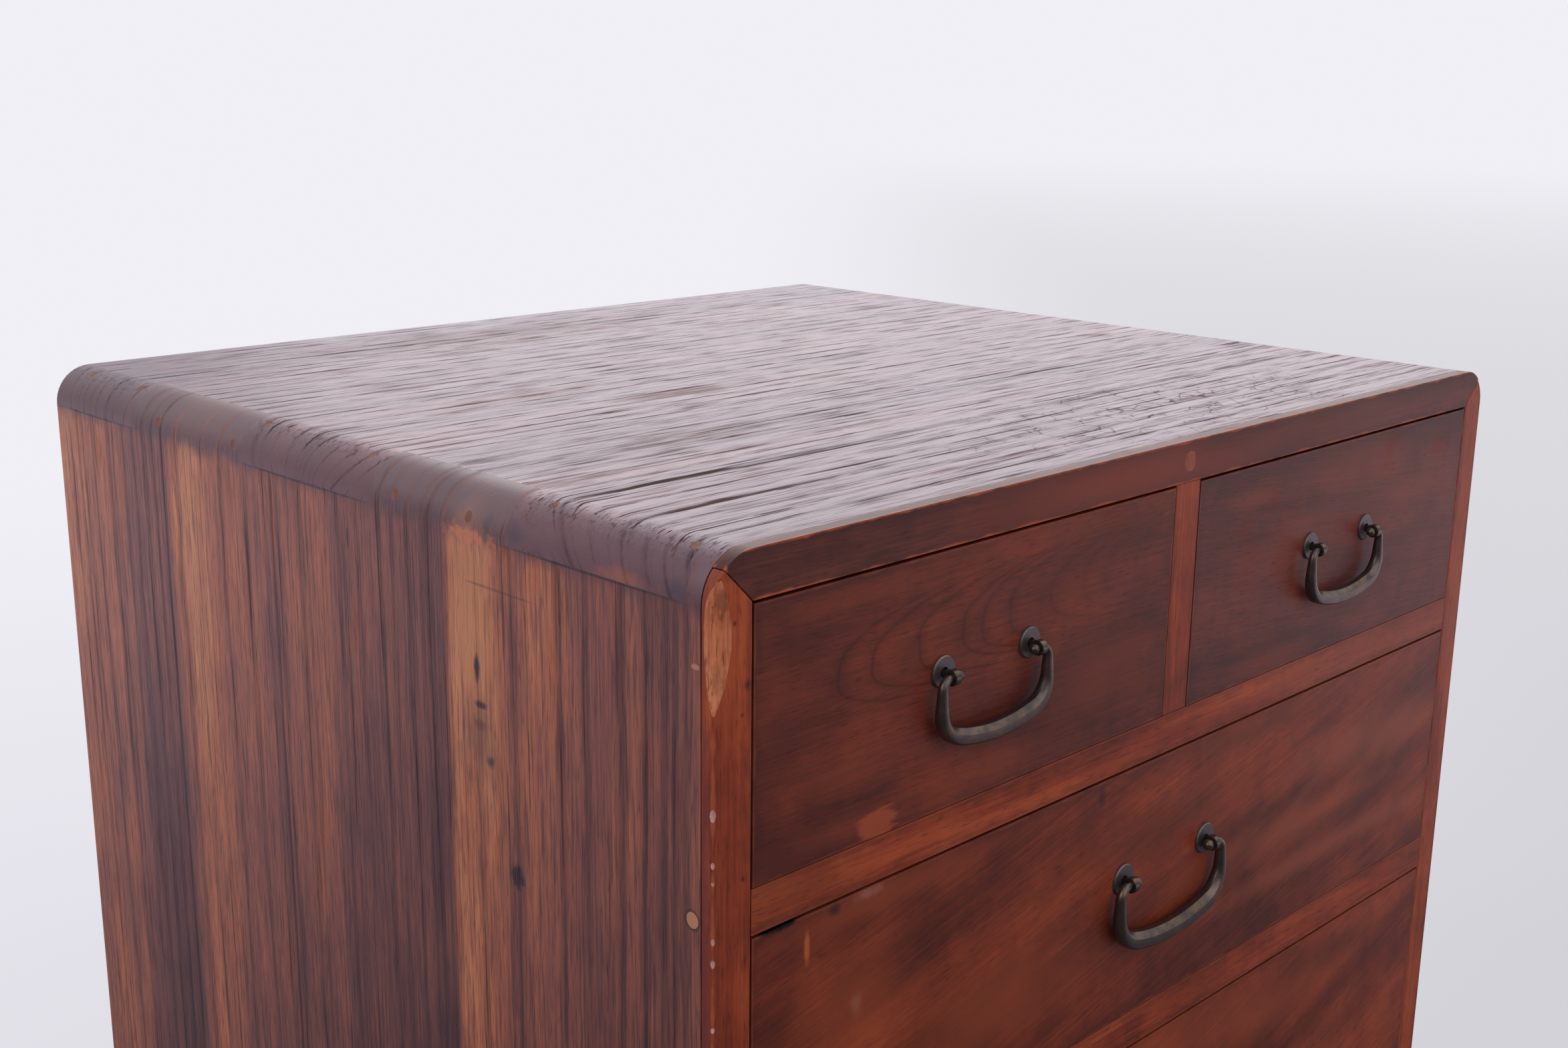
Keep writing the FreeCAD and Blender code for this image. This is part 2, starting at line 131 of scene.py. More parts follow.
def noise(tree, place, along, across, detail=2.0, roughness=0.5, distortion=0.0):
    # a pattern from 0 to 1; along and across are how finely it repeats along X and across it
    inputs = {"Vector": vector(tree, "MULTIPLY", place, (along, across, across)), "Scale": 1.0,
              "Detail": detail, "Roughness": roughness, "Distortion": distortion}
    return put(tree, "TexNoise", inputs, normalize=True).outputs["Fac"]


def flecks(tree, place, along, across, detail, low, high):
    # soft spots where such a pattern rises from low to high
    return fade(tree, noise(tree, place, along, across, detail), low, high)


def objectPlace(tree):
    return put(tree, "TexCoord").outputs["Object"]


def grainPlace(tree, look):
    # the piece's place turned so that its grain runs along X
    inputs = {"Vector": objectPlace(tree), "Rotation": look["turn"], "Location": look["shift"]}
    return put(tree, "Mapping", inputs, vector_type="POINT").outputs[0]


def facing(tree, axis):
    # how squarely the surface faces along an axis of the object
    return vector(tree, "DOT_PRODUCT", put(tree, "TexCoord").outputs["Normal"], axis)


def byHeight(tree, look):
    # fades with the height above the ground, between limits that soft blots make uneven
    place = objectPlace(tree)
    height = sway(tree, parted(tree, place)[2], noise(tree, place, *look["blots"]), look["uneven"])
    return fade(tree, height, *look["limits"])


def arrisDistance(tree, low, high):
    # how far a point on a board's surface is from the nearest edge of its box
    middle = (Vector(low) + Vector(high)) / 2
    half = (Vector(high) - Vector(low)) / 2
    away = vector(tree, "ABSOLUTE", vector(tree, "SUBTRACT", objectPlace(tree), middle))
    x, y, z = parted(tree, vector(tree, "SUBTRACT", half, away))
    kinds = ("ADD", "MINIMUM", "MAXIMUM")
    total, least, most = (calc(tree, kind, calc(tree, kind, x, y), z) for kind in kinds)
    return calc(tree, "SUBTRACT", calc(tree, "SUBTRACT", total, least), most)


def newMaterial(name, look):
    material = bpy.data.materials.new(name)
    material.use_nodes = True
    tree = material.node_tree
    shader = tree.nodes["Principled BSDF"]
    shader.inputs["Roughness"].default_value = look["roughness"]
    shader.inputs["Specular IOR Level"].default_value = look["specular"]
    return material, tree, shader


def wire(tree, shader, look, height, sockets):
    # feeds the shader, with a bump from the height pattern
    bump = put(tree, "Bump", {"Strength": look["bump"], "Distance": look["relief"], "Height": height})
    for name, socket in {"Normal": bump.outputs[0], **sockets}.items():
        tree.links.new(socket, shader.inputs[name])


# marks: stains, nicks and worn spots, each a ragged or soft blot; places and half sizes are in millimetres


def mark(at, size, share, colour, **more):
    look = {"ragged": 0.5, "soft": 0.3, "fine": (300, 300), "turn": (0, 0, 0), "depth": 0.0, "matt": 0.0}
    look.update(more, share=share, colour=colour, at=[v * mm for v in at], size=[v * mm for v in size])
    return look


def topMark(x, y, long, wide, share, colour, **more):
    return mark((x, y, 500), (long, wide, 10), share, colour, **more)


def sideMark(y, z, deep, tall, share, colour, **more):
    return mark((-227.5, y, z), (10, deep, tall), share, colour, **more)


def frontMark(x, z, wide, tall, share, colour, **more):
    return mark((x, -200, z), (wide, 10, tall), share, colour, **more)


def stain(x, z, wide, tall, share, colour, **more):
    # a soft darker or lighter patch of a front's own figure
    soft = {"ragged": 0.9, "soft": 0.95, "fine": (16, 60)}
    return frontMark(x, z, wide, tall, share, colour, **{**soft, **more})


def stains(colour, *rows):
    return [stain(*row, colour) for row in rows]


def spot(tree, look):
    # 1 inside the blot of a mark, 0 outside
    place = objectPlace(tree)
    away = vector(tree, "SUBTRACT", place, look["at"])
    away = vector(tree, "LENGTH", vector(tree, "MULTIPLY", away, [1 / half for half in look["size"]]))
    turned = put(tree, "Mapping", {"Vector": place, "Rotation": look["turn"]}).outputs[0]
    away = sway(tree, away, noise(tree, turned, *look["fine"]), look["ragged"])
    return times(tree, fade(tree, away, 1 + look["soft"] / 2, 1 - look["soft"]), look["share"])


def addMarks(tree, look, colour, height, matt):
    for each in look["marks"]:
        shape = spot(tree, each)
        colour = blend(tree, shape, colour, each["colour"])
        height = add(tree, height, shape, -each["depth"])
        matt = add(tree, matt, shape, each["matt"])
    return colour, height, calc(tree, "ADD", matt, 0.0, clamp=True)


# paulownia: the open-grained stained wood of the top and the sides, and the pale wood inside

rampBands = 8  # how many dark bands go into one ramp
grain = {
    # how finely each repeats along and across the grain, its detail, and the levels it fades between
    "strength": (1.5, 60, 2.0, 0.36, 0.62), "broken": (16, 150, 3.0, 0.46, 0.60),
    "dashes": (34, 950, 2.0, 0.52, 0.64), "fine": (120, 2300, 1.0, 0.55, 0.68),
    "pores": (34, 820), "width": (0.8, 90, 1.0), "wander": (1.6, 14),
    "cloud": (4.0, 0.6), "fibre": (4.0, 0.7, 0.25), "blotch": (3.0, 0.6),  # detail, roughness, distortion
    "patches": (0.62, 0.34), "valleys": (0.58, 0.36), "relief": (0.5, -0.3, -0.25),
    "endFine": -0.85, "endLine": -0.7,  # how far end grain takes away the fine detail and the ring lines
}


def boardShare(tree, across, look):
    # a place across the board as a share of the span that its stripes and bands are given for
    low, high = look["span"]
    return put(tree, "MapRange", {"Value": across, "From Min": low * mm, "From Max": high * mm}).outputs[0]


def greyRamp(tree, value, stops, look):
    low, high = look["span"]
    stops = [((place - low) / (high - low), (level, level, level, 1)) for place, level in stops]
    return put(tree, "SeparateColor", {0: ramp(tree, value, stops)}).outputs[0]


def leaningRings(tree, place, look):
    # rings that stand nearly upright in the board, each leaning as much as the board's end shows there
    x, y, z = parted(tree, place)
    stops = [(at, 0.5 + lean / 4) for at, lean in look["leans"]]  # a ramp holds 0 to 1, so leans are packed
    lean = greyRamp(tree, boardShare(tree, y, look), stops, look)
    lean = times(tree, calc(tree, "SUBTRACT", lean, 0.5), 4.0)
    leaned = add(tree, y, calc(tree, "SUBTRACT", look["face"], z), lean)
    return calc(tree, "SUBTRACT", look["pith"][0], leaned)


def ringPlace(tree, place, look):
    # distance from the heart of the tree, which lies along X, wandering as a real ring does
    if "leans" in look:
        away = leaningRings(tree, place, look)
    else:
        away = vector(tree, "SUBTRACT", place, (0, *look["pith"]))
        away = vector(tree, "LENGTH", vector(tree, "MULTIPLY", away, (0, 1, 1)))
    return sway(tree, away, noise(tree, place, *grain["wander"]), look["wander"] * 2)


def ringsAt(tree, ring, width):
    # each ring's own tone, the distance to its dark line, and the place of its middle
    inputs = {"W": ring, "Scale": 1 / width, "Randomness": 1.0}
    cell = put(tree, "TexVoronoi", inputs, voronoi_dimensions="1D", feature="F1").outputs
    tone = put(tree, "SeparateColor", {0: cell["Color"]}).outputs[0]
    edge = put(tree, "TexVoronoi", inputs, voronoi_dimensions="1D", feature="DISTANCE_TO_EDGE").outputs
    return tone, times(tree, edge["Distance"], width), cell["W"]


def stripeLevel(tree, ring, middle, look):
    # the broad light and dark stripes; each place is drawn part of the way to the middle of its ring
    drawn = add(tree, ring, calc(tree, "SUBTRACT", middle, ring), look["crispness"])
    share = boardShare(tree, calc(tree, "SUBTRACT", look["pith"][0], drawn), look)
    return greyRamp(tree, share, look["stripes"], look)


def knownBands(tree, ring, look):
    # the dark bands that stand where the photograph has them, a few to a ramp
    share = boardShare(tree, calc(tree, "SUBTRACT", look["pith"][0], ring), look)
    found = 0.0
    for first in range(0, len(look["bands"]), rampBands):
        stops = []
        for middle, half, strength in look["bands"][first:first + rampBands]:
            stops += [(middle - half, 0.0), (middle, strength), (middle + half, 0.0)]
        found = calc(tree, "MAXIMUM", found, greyRamp(tree, share, stops, look))
    return found


def openPores(tree, place, toLine, look):
    # rows of open pores beside the ring lines, as short dashes that the brushing has deepened
    near = fade(tree, toLine, look["poreReach"], 0.2 * look["poreReach"])
    limit = between(tree, near, *look["poreLimits"])
    return fade(tree, calc(tree, "SUBTRACT", noise(tree, place, *grain["pores"]), limit), 0.0, 0.05)


def finishCrackle(tree, look):
    # the fine net of cracks in the finish, inside one soft patch of the board
    place = objectPlace(tree)
    drift = noise(tree, place, *look["drift"])
    bent = put(tree, "CombineXYZ", {0: drift, 1: drift}).outputs[0]
    bent = put(tree, "VectorMath", {0: bent, "Scale": look["bend"]}, operation="SCALE").outputs[0]
    inputs = {"Vector": vector(tree, "ADD", bent, place), "Scale": 1 / look["cell"]}
    net = put(tree, "TexVoronoi", inputs, feature="DISTANCE_TO_EDGE").outputs["Distance"]
    net = times(tree, fade(tree, net, *look["width"]), flecks(tree, place, *look["gaps"]))
    return times(tree, net, spot(tree, look["patch"]))


def kiri(name, look):
    material, tree, shader = newMaterial(name, look)
    place = grainPlace(tree, look)
    ring = ringPlace(tree, place, look)
    tone, toLine, middle = ringsAt(tree, ring, look["ringWidth"])
    cloud, fibre, blotch = (noise(tree, place, *look[kind + "Size"], *grain[kind])
                            for kind in ("cloud", "fibre", "blotch"))
    across = calc(tree, "ABSOLUTE", facing(tree, look["endAxis"]))
    across = fade(tree, across, *look["endLimits"])  # 1 on end grain
    along = add(tree, 1.0, across, grain["endFine"])

    level = sway(tree, 0.5, tone, look["ringContrast"])
    level = sway(tree, level, cloud, look["cloudContrast"])
    level = sway(tree, level, blotch, look["blotchContrast"])
    level = sway(tree, level, fibre, times(tree, along, look["fibreContrast"]))
    if "stripes" in look:
        level = sway(tree, level, stripeLevel(tree, ring, middle, look), 1.0)
    # painted shade: the side boards are darkened towards the bottom, standing in for light that falls from
    # above
    if "paintedShadeLow" in look:
        level = calc(tree, "SUBTRACT", level, byHeight(tree, look["paintedShadeLow"]))
    colour = ramp(tree, level, look["colours"])

    # a soft dark band on each ring, stronger on some rings than on others, with an edge that the fibres fray
    fray = times(tree, times(tree, calc(tree, "SUBTRACT", fibre, 0.5), look["fray"]), along)
    frayed = calc(tree, "ADD", toLine, fray)
    width = noise(tree, place, *grain["width"])
    width = add(tree, 0.2 * look["bandWidth"], width, 1.6 * look["bandWidth"])
    band = calc(tree, "SUBTRACT", 1.0, calc(tree, "DIVIDE", frayed, width), clamp=True)
    band = times(tree, fade(tree, band, 0.0, 0.9), flecks(tree, place, *grain["strength"]))
    if "bands" in look:
        known = knownBands(tree, calc(tree, "ADD", ring, fray), look)
        band = calc(tree, "MAXIMUM", times(tree, band, look["looseShare"]), known)
    band = times(tree, band, fade(tree, blotch, *grain["patches"], look["bandPatchy"], 1.0))
    bandShare = between(tree, across, look["bandShare"], look["endBandShare"])
    colour = blend(tree, times(tree, band, bandShare), colour, look["bandColour"])

    # short dark dashes between the bands, then the ring lines and open pores, then the darker ends
    dashes, fine = (times(tree, flecks(tree, place, *grain[kind]), along) for kind in ("dashes", "fine"))
    colour = blend(tree, times(tree, dashes, look["dashShare"]), colour, look["dashColour"])
    colour = blend(tree, times(tree, fine, look["fineShare"]), colour, look["dashColour"])
    line = fade(tree, frayed, look["lineWidth"], 0.2 * look["lineWidth"])
    line = times(tree, line, flecks(tree, place, *grain["broken"]))
    line = times(tree, line, add(tree, 1.0, across, grain["endLine"]))
    groove = calc(tree, "MAXIMUM", line, times(tree, openPores(tree, place, toLine, look), along))
    colour = blend(tree, times(tree, groove, look["lineShare"]), colour, look["lineColour"])
    ending = byHeight(tree, look["handled"]) if "handled" in look else across
    ending = times(tree, ending, fade(tree, band, 0.05, 0.6, look["endShare"], 0.2 * look["endShare"]))
    colour = blend(tree, ending, colour, look["endColour"])

    height = times(tree, groove, -1.0)
    for pattern, depth in zip((fibre, dashes, fine), grain["relief"]):
        height = add(tree, height, pattern, depth)
    valley = times(tree, fade(tree, fibre, *grain["valleys"]), along)
    dull = times(tree, fade(tree, blotch, *look["dullLimits"]), along)
    matt = times(tree, across, look["endMatt"])
    for kind, pattern in dict(groove=groove, valley=valley, dash=dashes, band=band, dull=dull).items():
        matt = add(tree, matt, pattern, look[kind + "Matt"])
    if "crackle" in look:
        net = finishCrackle(tree, look["crackle"])
        colour = blend(tree, net, colour, look["crackle"]["patch"]["colour"])
        height = add(tree, height, net, -look["crackle"]["patch"]["depth"])
        matt = add(tree, matt, net, look["crackle"]["patch"]["matt"])
    colour, height, matt = addMarks(tree, look, colour, height, matt)
    rough = between(tree, matt, look["roughness"], look["roughest"])
    gloss = between(tree, across, look["specular"], look["endSpecular"])
    gloss = times(tree, gloss, between(tree, matt, 1.0, look["mattGloss"]))
    shader.inputs["Specular Tint"].default_value = look["glossTint"]
    wire(tree, shader, look, height, {"Base Color": colour, "Roughness": rough, "Specular IOR Level": gloss})
    return material


paleLook = {
    "turn": (0, 0, 0), "shift": (1.3, 0.2, 0.1), "pith": (-0.3, -0.5), "wander": 5 * mm, "ringWidth": 7 * mm,
    "cloudSize": (6, 34), "cloudContrast": 0.4, "blotchSize": (15, 100), "blotchContrast": 0.2,
    "fibreSize": (24, 600), "fibreContrast": 0.5, "ringContrast": 0.35, "fray": 1.0 * mm,
    "colours": [(0.2, paint(158, 122, 88)), (0.5, paint(184, 148, 110)), (0.8, paint(204, 172, 134))],
    "bandColour": paint(150, 112, 78), "bandWidth": 2.4 * mm, "bandShare": 0.5, "bandPatchy": 0.6,
    "lineColour": paint(112, 78, 52), "lineWidth": 0.4 * mm, "lineShare": 0.6,
    "dashColour": paint(112, 78, 52), "dashShare": 0.25, "fineShare": 0.3,
    "poreReach": 1.6 * mm, "poreLimits": (0.72, 0.60),
    "endAxis": (1, 0, 0), "endLimits": (0.25, 0.8), "endColour": paint(150, 114, 82), "endShare": 0.5,
    "endBandShare": 0.6, "endSpecular": 0.3,
    "roughness": 0.58, "roughest": 0.85, "specular": 0.3, "mattGloss": 0.12, "glossTint": (1, 1, 1, 1),
    "grooveMatt": 0.3, "valleyMatt": 0.1, "dashMatt": 0.0, "bandMatt": 0.0, "dullMatt": 0.2, "endMatt": 0.4,
    "dullLimits": (0.55, 0.75), "bump": 0.35, "relief": 0.35 * mm, "marks": [],
}

agedLook = dict(
    paleLook, shift=(2.1, 0.4, 0.3), lineColour=paint(62, 42, 32), bandColour=paint(84, 60, 46),
    dashColour=paint(62, 42, 32), endColour=paint(92, 68, 52),
    colours=[(0.2, paint(104, 72, 52)), (0.5, paint(134, 95, 69)), (0.8, paint(156, 116, 86))])

# stripes, bands and leans go by the place across the board in millimetres; a band also has half its width
topLook = dict(
    paleLook, shift=(0.31, 0.0, 0.0), pith=(0.75, 0.0), wander=1.2 * mm, ringWidth=9 * mm, face=0.5,
    span=(-205, 205), crispness=0.3, cloudContrast=0.5, blotchContrast=0.3, fibreSize=(22, 640),
    fibreContrast=0.6, ringContrast=0.1, fray=1.6 * mm,
    colours=[(0.12, paint(50, 32, 33)), (0.5, paint(88, 56, 56)), (0.88, paint(128, 86, 80))],
    bandColour=paint(44, 32, 36), bandWidth=2 * mm, bandShare=0.85, bandPatchy=0.5, looseShare=0.3,
    lineColour=paint(60, 40, 36), lineWidth=0.7 * mm, lineShare=0.75,
    dashColour=paint(50, 33, 32), dashShare=0.35, fineShare=0.4, poreReach=3 * mm, poreLimits=(0.70, 0.60),
    endLimits=(0.35, 0.9), endColour=paint(82, 55, 57), endShare=0.75, endBandShare=0.9, endSpecular=0.54,
    roughness=0.34, specular=0.9, glossTint=(1.0, 0.765, 0.975, 1), grooveMatt=0.6, valleyMatt=0.2,
    dashMatt=0.3, bandMatt=0.5, dullMatt=0.3, endMatt=0.1, dullLimits=(0.54, 0.74), bump=0.45,
    crackle={"cell": 9 * mm, "bend": 9 * mm, "drift": (60, 60, 3.0), "width": (0.055, 0.015),
             "gaps": (90, 90, 2.0, 0.44, 0.56),
             "patch": topMark(45, -158, 125, 36, 0.42, paint(50, 33, 32), ragged=1.2, soft=0.8,
                              fine=(30, 60), depth=0.8, matt=0.9)},
    leans=[(-200, 0.6), (-165, 0.75), (-140, 1.1), (-124, 1.6), (-112, 0.2), (-60, 0.0), (-30, -0.9),
           (-11, -1.05), (3, -0.4), (21, 0.3), (45, 0.4), (80, -0.2), (118, -0.35), (157, 0.1), (200, 0.4)],
    stripes=[(-200, 0.46), (-150, 0.52), (-118, 0.50), (-113, 0.62), (-107, 0.56), (-98, 0.44), (-77, 0.30),
             (-66, 0.42), (-45, 0.52), (-16, 0.54), (6, 0.42), (18, 0.50), (31, 0.62), (43, 0.44), (55, 0.54),
             (79, 0.30), (91, 0.36), (112, 0.52), (139, 0.56), (152, 0.26), (163, 0.24), (176, 0.36),
             (200, 0.34)],
    bands=[(-193, 1.6, 0.7), (-182.5, 1.8, 0.85), (-173, 1.6, 0.8), (-164.5, 1.8, 0.8), (-153.5, 1.7, 0.85),
           (-138.5, 1.3, 0.5), (-124.3, 2.6, 1.0), (-112, 1.0, 0.4), (-103, 1.9, 1.0), (-92.5, 1.6, 0.75),
           (-81.5, 1.3, 0.6), (-74, 1.3, 0.65), (-64, 1.6, 0.8), (-54, 1.0, 0.45), (-45.5, 1.2, 0.5),
           (-26, 1.4, 0.75), (-10.5, 1.1, 0.5), (-1, 1.0, 0.5), (8.5, 1.2, 0.5), (20.5, 1.3, 0.6),
           (45.5, 1.6, 0.65), (65, 1.5, 0.65), (83, 1.2, 0.45), (106, 1.0, 0.35), (126, 1.0, 0.35),
           (157, 1.8, 0.6), (172, 1.4, 0.5), (186, 1.2, 0.4)],
    marks=[
        topMark(-75, -12, 30, 7, 0.6, paint(100, 66, 58), matt=0.5, ragged=1.5, soft=0.7, fine=(40, 160)),
        topMark(-118, 20, 42, 10, 0.5, paint(100, 66, 58), matt=0.35, ragged=2.2, soft=0.95, fine=(40, 160)),
        topMark(-30, 155, 120, 24, 0.5, paint(98, 64, 56), matt=0.35, ragged=2.2, soft=0.95, fine=(20, 120)),
        topMark(-120, -80, 60, 12, 0.55, paint(92, 60, 54), matt=0.35, ragged=2.2, soft=0.95, fine=(30, 160)),
        topMark(-178, -124.3, 34, 1.9, 0.9, paint(60, 42, 36), depth=1.0, matt=0.9, ragged=1.6, soft=0.5,
                fine=(60, 900)),
        topMark(-118, -126.2, 40, 1, 0.8, paint(62, 42, 34), depth=1.0, matt=0.8, ragged=1.4, soft=0.5,
                fine=(40, 700)),
        topMark(-170, -155.3, 42, 1.3, 0.8, paint(66, 44, 38), depth=0.8, matt=0.8, ragged=1.6, soft=0.5,
                fine=(60, 700)),
        mark((-227.5, -161.4, 486.2), (6, 11, 3), 0.5, paint(150, 84, 52), ragged=1.8, soft=0.9,
             fine=(200, 200)),
        mark((-227.5, -185.7, 487.3), (6, 4.8, 4), 0.6, paint(46, 38, 46), ragged=1.2, soft=0.8,
             fine=(200, 200)),
        mark((-227.5, -111.5, 489), (6, 5, 5), 0.6, paint(46, 38, 46), ragged=1.4, soft=0.8,
             fine=(200, 200)),
    ])

uprightTurn = (0, math.radians(90), 0)
railPegHeights = (392.25, 278.25, 150.25)
tongueSeams = ((-148.3, 40.8), (8.5, 42.5), (166.5, 33.5))  # the middle and half the length of each

sideLook = dict(
    paleLook, turn=uprightTurn, shift=(0.0, 0.0, 0.0), pith=(0.75, 0.2), ringWidth=13 * mm,
    span=(-205, 205), crispness=0.3, cloudSize=(7, 40), cloudContrast=0.5, blotchSize=(20, 90),
    blotchContrast=0.45, fibreSize=(24, 700), fibreContrast=0.55, ringContrast=0.08, fray=1.4 * mm,
    colours=[(0.08, paint(66, 37, 40)), (0.3, paint(96, 54, 49)), (0.5, paint(127, 71, 56)),
             (0.7, paint(156, 88, 58)), (0.92, paint(184, 120, 80))],
    bandColour=paint(34, 23, 30), bandWidth=2.6 * mm, bandShare=0.95, bandPatchy=0.8, looseShare=0.5,
    lineColour=paint(46, 30, 36), lineWidth=0.5 * mm, dashColour=paint(50, 32, 35), dashShare=0.5,
    fineShare=0.5, poreReach=2 * mm, poreLimits=(0.76, 0.66),
    endAxis=(0, 0, 1), endLimits=(0.02, 0.6), endColour=paint(72, 48, 51), endShare=0.9, endBandShare=0.9,
    endSpecular=0.74, roughness=0.40, specular=0.5, glossTint=(1.0, 0.88, 1.0, 1), valleyMatt=0.2,
    bandMatt=0.4, dullMatt=0.3, endMatt=0.1, bump=0.5,
    handled={"limits": (0.480, 0.487), "blots": (70, 70, 3.0), "uneven": 9 * mm},
    # painted shade: darker towards the bottom, with soft blots making the edge uneven
    paintedShadeLow={"limits": (0.28, 0.45, 0.18, 0.0), "blots": (9, 9, 4.0, 0.6), "uneven": 0.22},
    stripes=[(-200, 0.50), (-150, 0.48), (-132, 0.58), (-120, 0.70), (-110, 0.62), (-104, 0.70), (-96, 0.80),
             (-81, 0.84), (-78.5, 0.60), (-77, 0.38), (-62, 0.38), (-54, 0.43), (-24, 0.45), (-10, 0.40),
             (1, 0.60), (24, 0.58), (33, 0.50), (40, 0.60), (64, 0.64), (76, 0.78), (88, 0.84), (104, 0.72),
             (110.5, 0.36), (136, 0.42), (146, 0.56), (160, 0.70), (200, 0.74)],
    bands=[(-189.5, 2.4, 0.6), (-180, 2.8, 0.8), (-171.5, 2.4, 0.9), (-161, 2.8, 0.95), (-145, 2.0, 0.7),
           (-132.5, 2.0, 0.9), (-110.8, 1.8, 0.9), (-77.5, 1.6, 0.8), (-66, 1.8, 0.7), (-47.4, 1.6, 0.7),
           (-40.2, 1.4, 0.8), (-13.6, 1.8, 0.7), (6, 1.2, 0.7), (29, 1.6, 0.9), (46, 1.2, 0.7),
           (64.5, 1.2, 0.7), (110.5, 1.8, 0.9), (118, 1.6, 0.9), (126, 1.8, 0.8), (135, 1.6, 0.8),
           (151, 1.2, 0.7), (168, 1.2, 0.7), (181, 1.2, 0.7)],
    marks=[
        mark((-221, -90, 494), (12, 18, 6), 0.7, paint(70, 48, 52), ragged=1.2, soft=0.8, fine=(200, 200)),
        sideMark(-89.5, 456, 10, 36, 0.6, paint(176, 116, 74), ragged=0.8, soft=0.9, fine=(60, 60)),
        sideMark(-90, 484.5, 11, 2.8, 0.6, paint(188, 108, 66), ragged=2.6, soft=0.6, fine=(420, 420)),
        sideMark(-92.5, 418, 10, 14, 0.55, paint(92, 58, 48), ragged=1.6, soft=0.9, fine=(160, 160)),
        sideMark(-91.7, 442.2, 1.7, 4.6, 0.95, paint(48, 32, 34), depth=0.8, ragged=0.7, soft=0.5),
        sideMark(-93.2, 430.2, 3.4, 1.4, 0.95, paint(44, 30, 34), depth=0.7, ragged=0.9, soft=0.6),
        sideMark(-92.4, 423.6, 3.2, 2, 0.85, paint(96, 54, 40), depth=0.3, ragged=1.0, soft=0.7),
        sideMark(-97.8, 412.5, 2.3, 2, 0.85, paint(56, 40, 44), depth=0.5, ragged=0.8, soft=0.8),
        sideMark(-110.1, 377.6, 3.4, 4.4, 0.9, paint(28, 22, 28), depth=0.8, ragged=1.2, soft=0.5,
                 fine=(420, 420)),
        sideMark(-20, 470.3, 0.7, 4.5, 0.8, paint(34, 24, 28), depth=0.4),
        sideMark(-192.9, 467.8, 1.8, 0.9, 0.8, paint(176, 112, 84)),
        sideMark(-105, 469.8, 16, 0.5, 0.45, paint(52, 36, 38), ragged=0.9, fine=(60, 60)),
        sideMark(-98, 488.6, 2.2, 5, 0.6, paint(48, 34, 38), ragged=1.4, soft=0.8),
        *(mark((-227.5, middle, 484.7), (4, half, 0.6), 0.8, paint(32, 22, 25), ragged=0.4, soft=0.5,
               fine=(120, 120)) for middle, half in tongueSeams),  # the dark seam under each tongue, painted shade in the joint line
        *(mark((-227.5, -191.6, height), (4, 3.4, 3.4), 0.8, paint(36, 25, 28), ragged=0.3)
          for height in railPegHeights),  # the dark outline of each peg
    ])

farSideLook = dict(
    sideLook, shift=(0.4, 0.0, 0.0), marks=[],
    stripes=[(-200, 0.46), (-160, 0.38), (-130, 0.58), (-100, 0.42), (-60, 0.72), (-48, 0.38), (-10, 0.50),
             (30, 0.30), (50, 0.46), (90, 0.38), (120, 0.60), (160, 0.36), (200, 0.50)])

pegLook = dict(
    paleLook, turn=uprightTurn, ringWidth=1.2 * mm, lineWidth=0.25 * mm, roughness=0.5, endShare=0.0,
    colours=[(0.2, paint(104, 68, 60)), (0.5, paint(124, 82, 70)), (0.8, paint(140, 95, 80))],
    bandColour=paint(104, 62, 50), lineColour=paint(82, 48, 40), dashColour=paint(82, 48, 40),
    marks=[mark((x, -191.6, height), (6, 6, 6), 0.8, paint(168, 116, 88), ragged=0.3)
           for height in railPegHeights for x in (-227.5, 227.5)])

plugLook = dict(
    pegLook, marks=[], bandColour=paint(84, 42, 32),
    colours=[(0.2, paint(124, 58, 38)), (0.5, paint(148, 72, 46)), (0.8, paint(164, 84, 54))])


# hardwood: the drawer fronts and the frame round them

figure = {
    "drift": (3.0, 0.5, 0.4), "driftLimits": (0.34, 0.66), "fine": (22, 760, 4.0, 0.66, 0.2),
    "cloud": (42, 42, 4.0, 0.6), "mattLimits": (0.45, 0.75), "mattShare": 0.25,
    "ticks": (150, 1900, 1.0, 0.56, 0.72), "fineDepth": 0.4, "tickDepth": 0.4, "ragged": (90, 90, 4.0),
    "grime": (9 * mm, 4 * mm), "worn": (3.2 * mm, 0.9 * mm),  # at the arrises: how uneven and how wide
    "halo": (6.5 * mm, 0.0), "line": (1.3 * mm, 0.1 * mm), "lineShare": 0.45,
}


def archLines(tree, look):
    # the arched figure of a flat-sawn board: nested arches, closed to the left and running out to the right
    place = objectPlace(tree)
    x, y, z = parted(tree, vector(tree, "SUBTRACT", place, look["tip"]))
    rise = calc(tree, "ABSOLUTE", add(tree, z, x, -look["lean"]))
    reach = add(tree, x, calc(tree, "POWER", rise, 3.0), -1 / look["bluntness"])
    reach = sway(tree, reach, noise(tree, place, *look["waveSize"]), look["wave"])
    toLine = ringsAt(tree, reach, look["spacing"])[1]
    halo, line = (times(tree, fade(tree, toLine, *figure[kind]), figure["lineShare"])
                  for kind in ("halo", "line"))
    line = times(tree, calc(tree, "ADD", halo, line), fade(tree, reach, look["closed"], 0.0))
    line = times(tree, line, fade(tree, x, look["run"], 0.4 * look["run"], 0.35, 1.0))
    return times(tree, line, fade(tree, rise, look["rise"], 0.6 * look["rise"]))


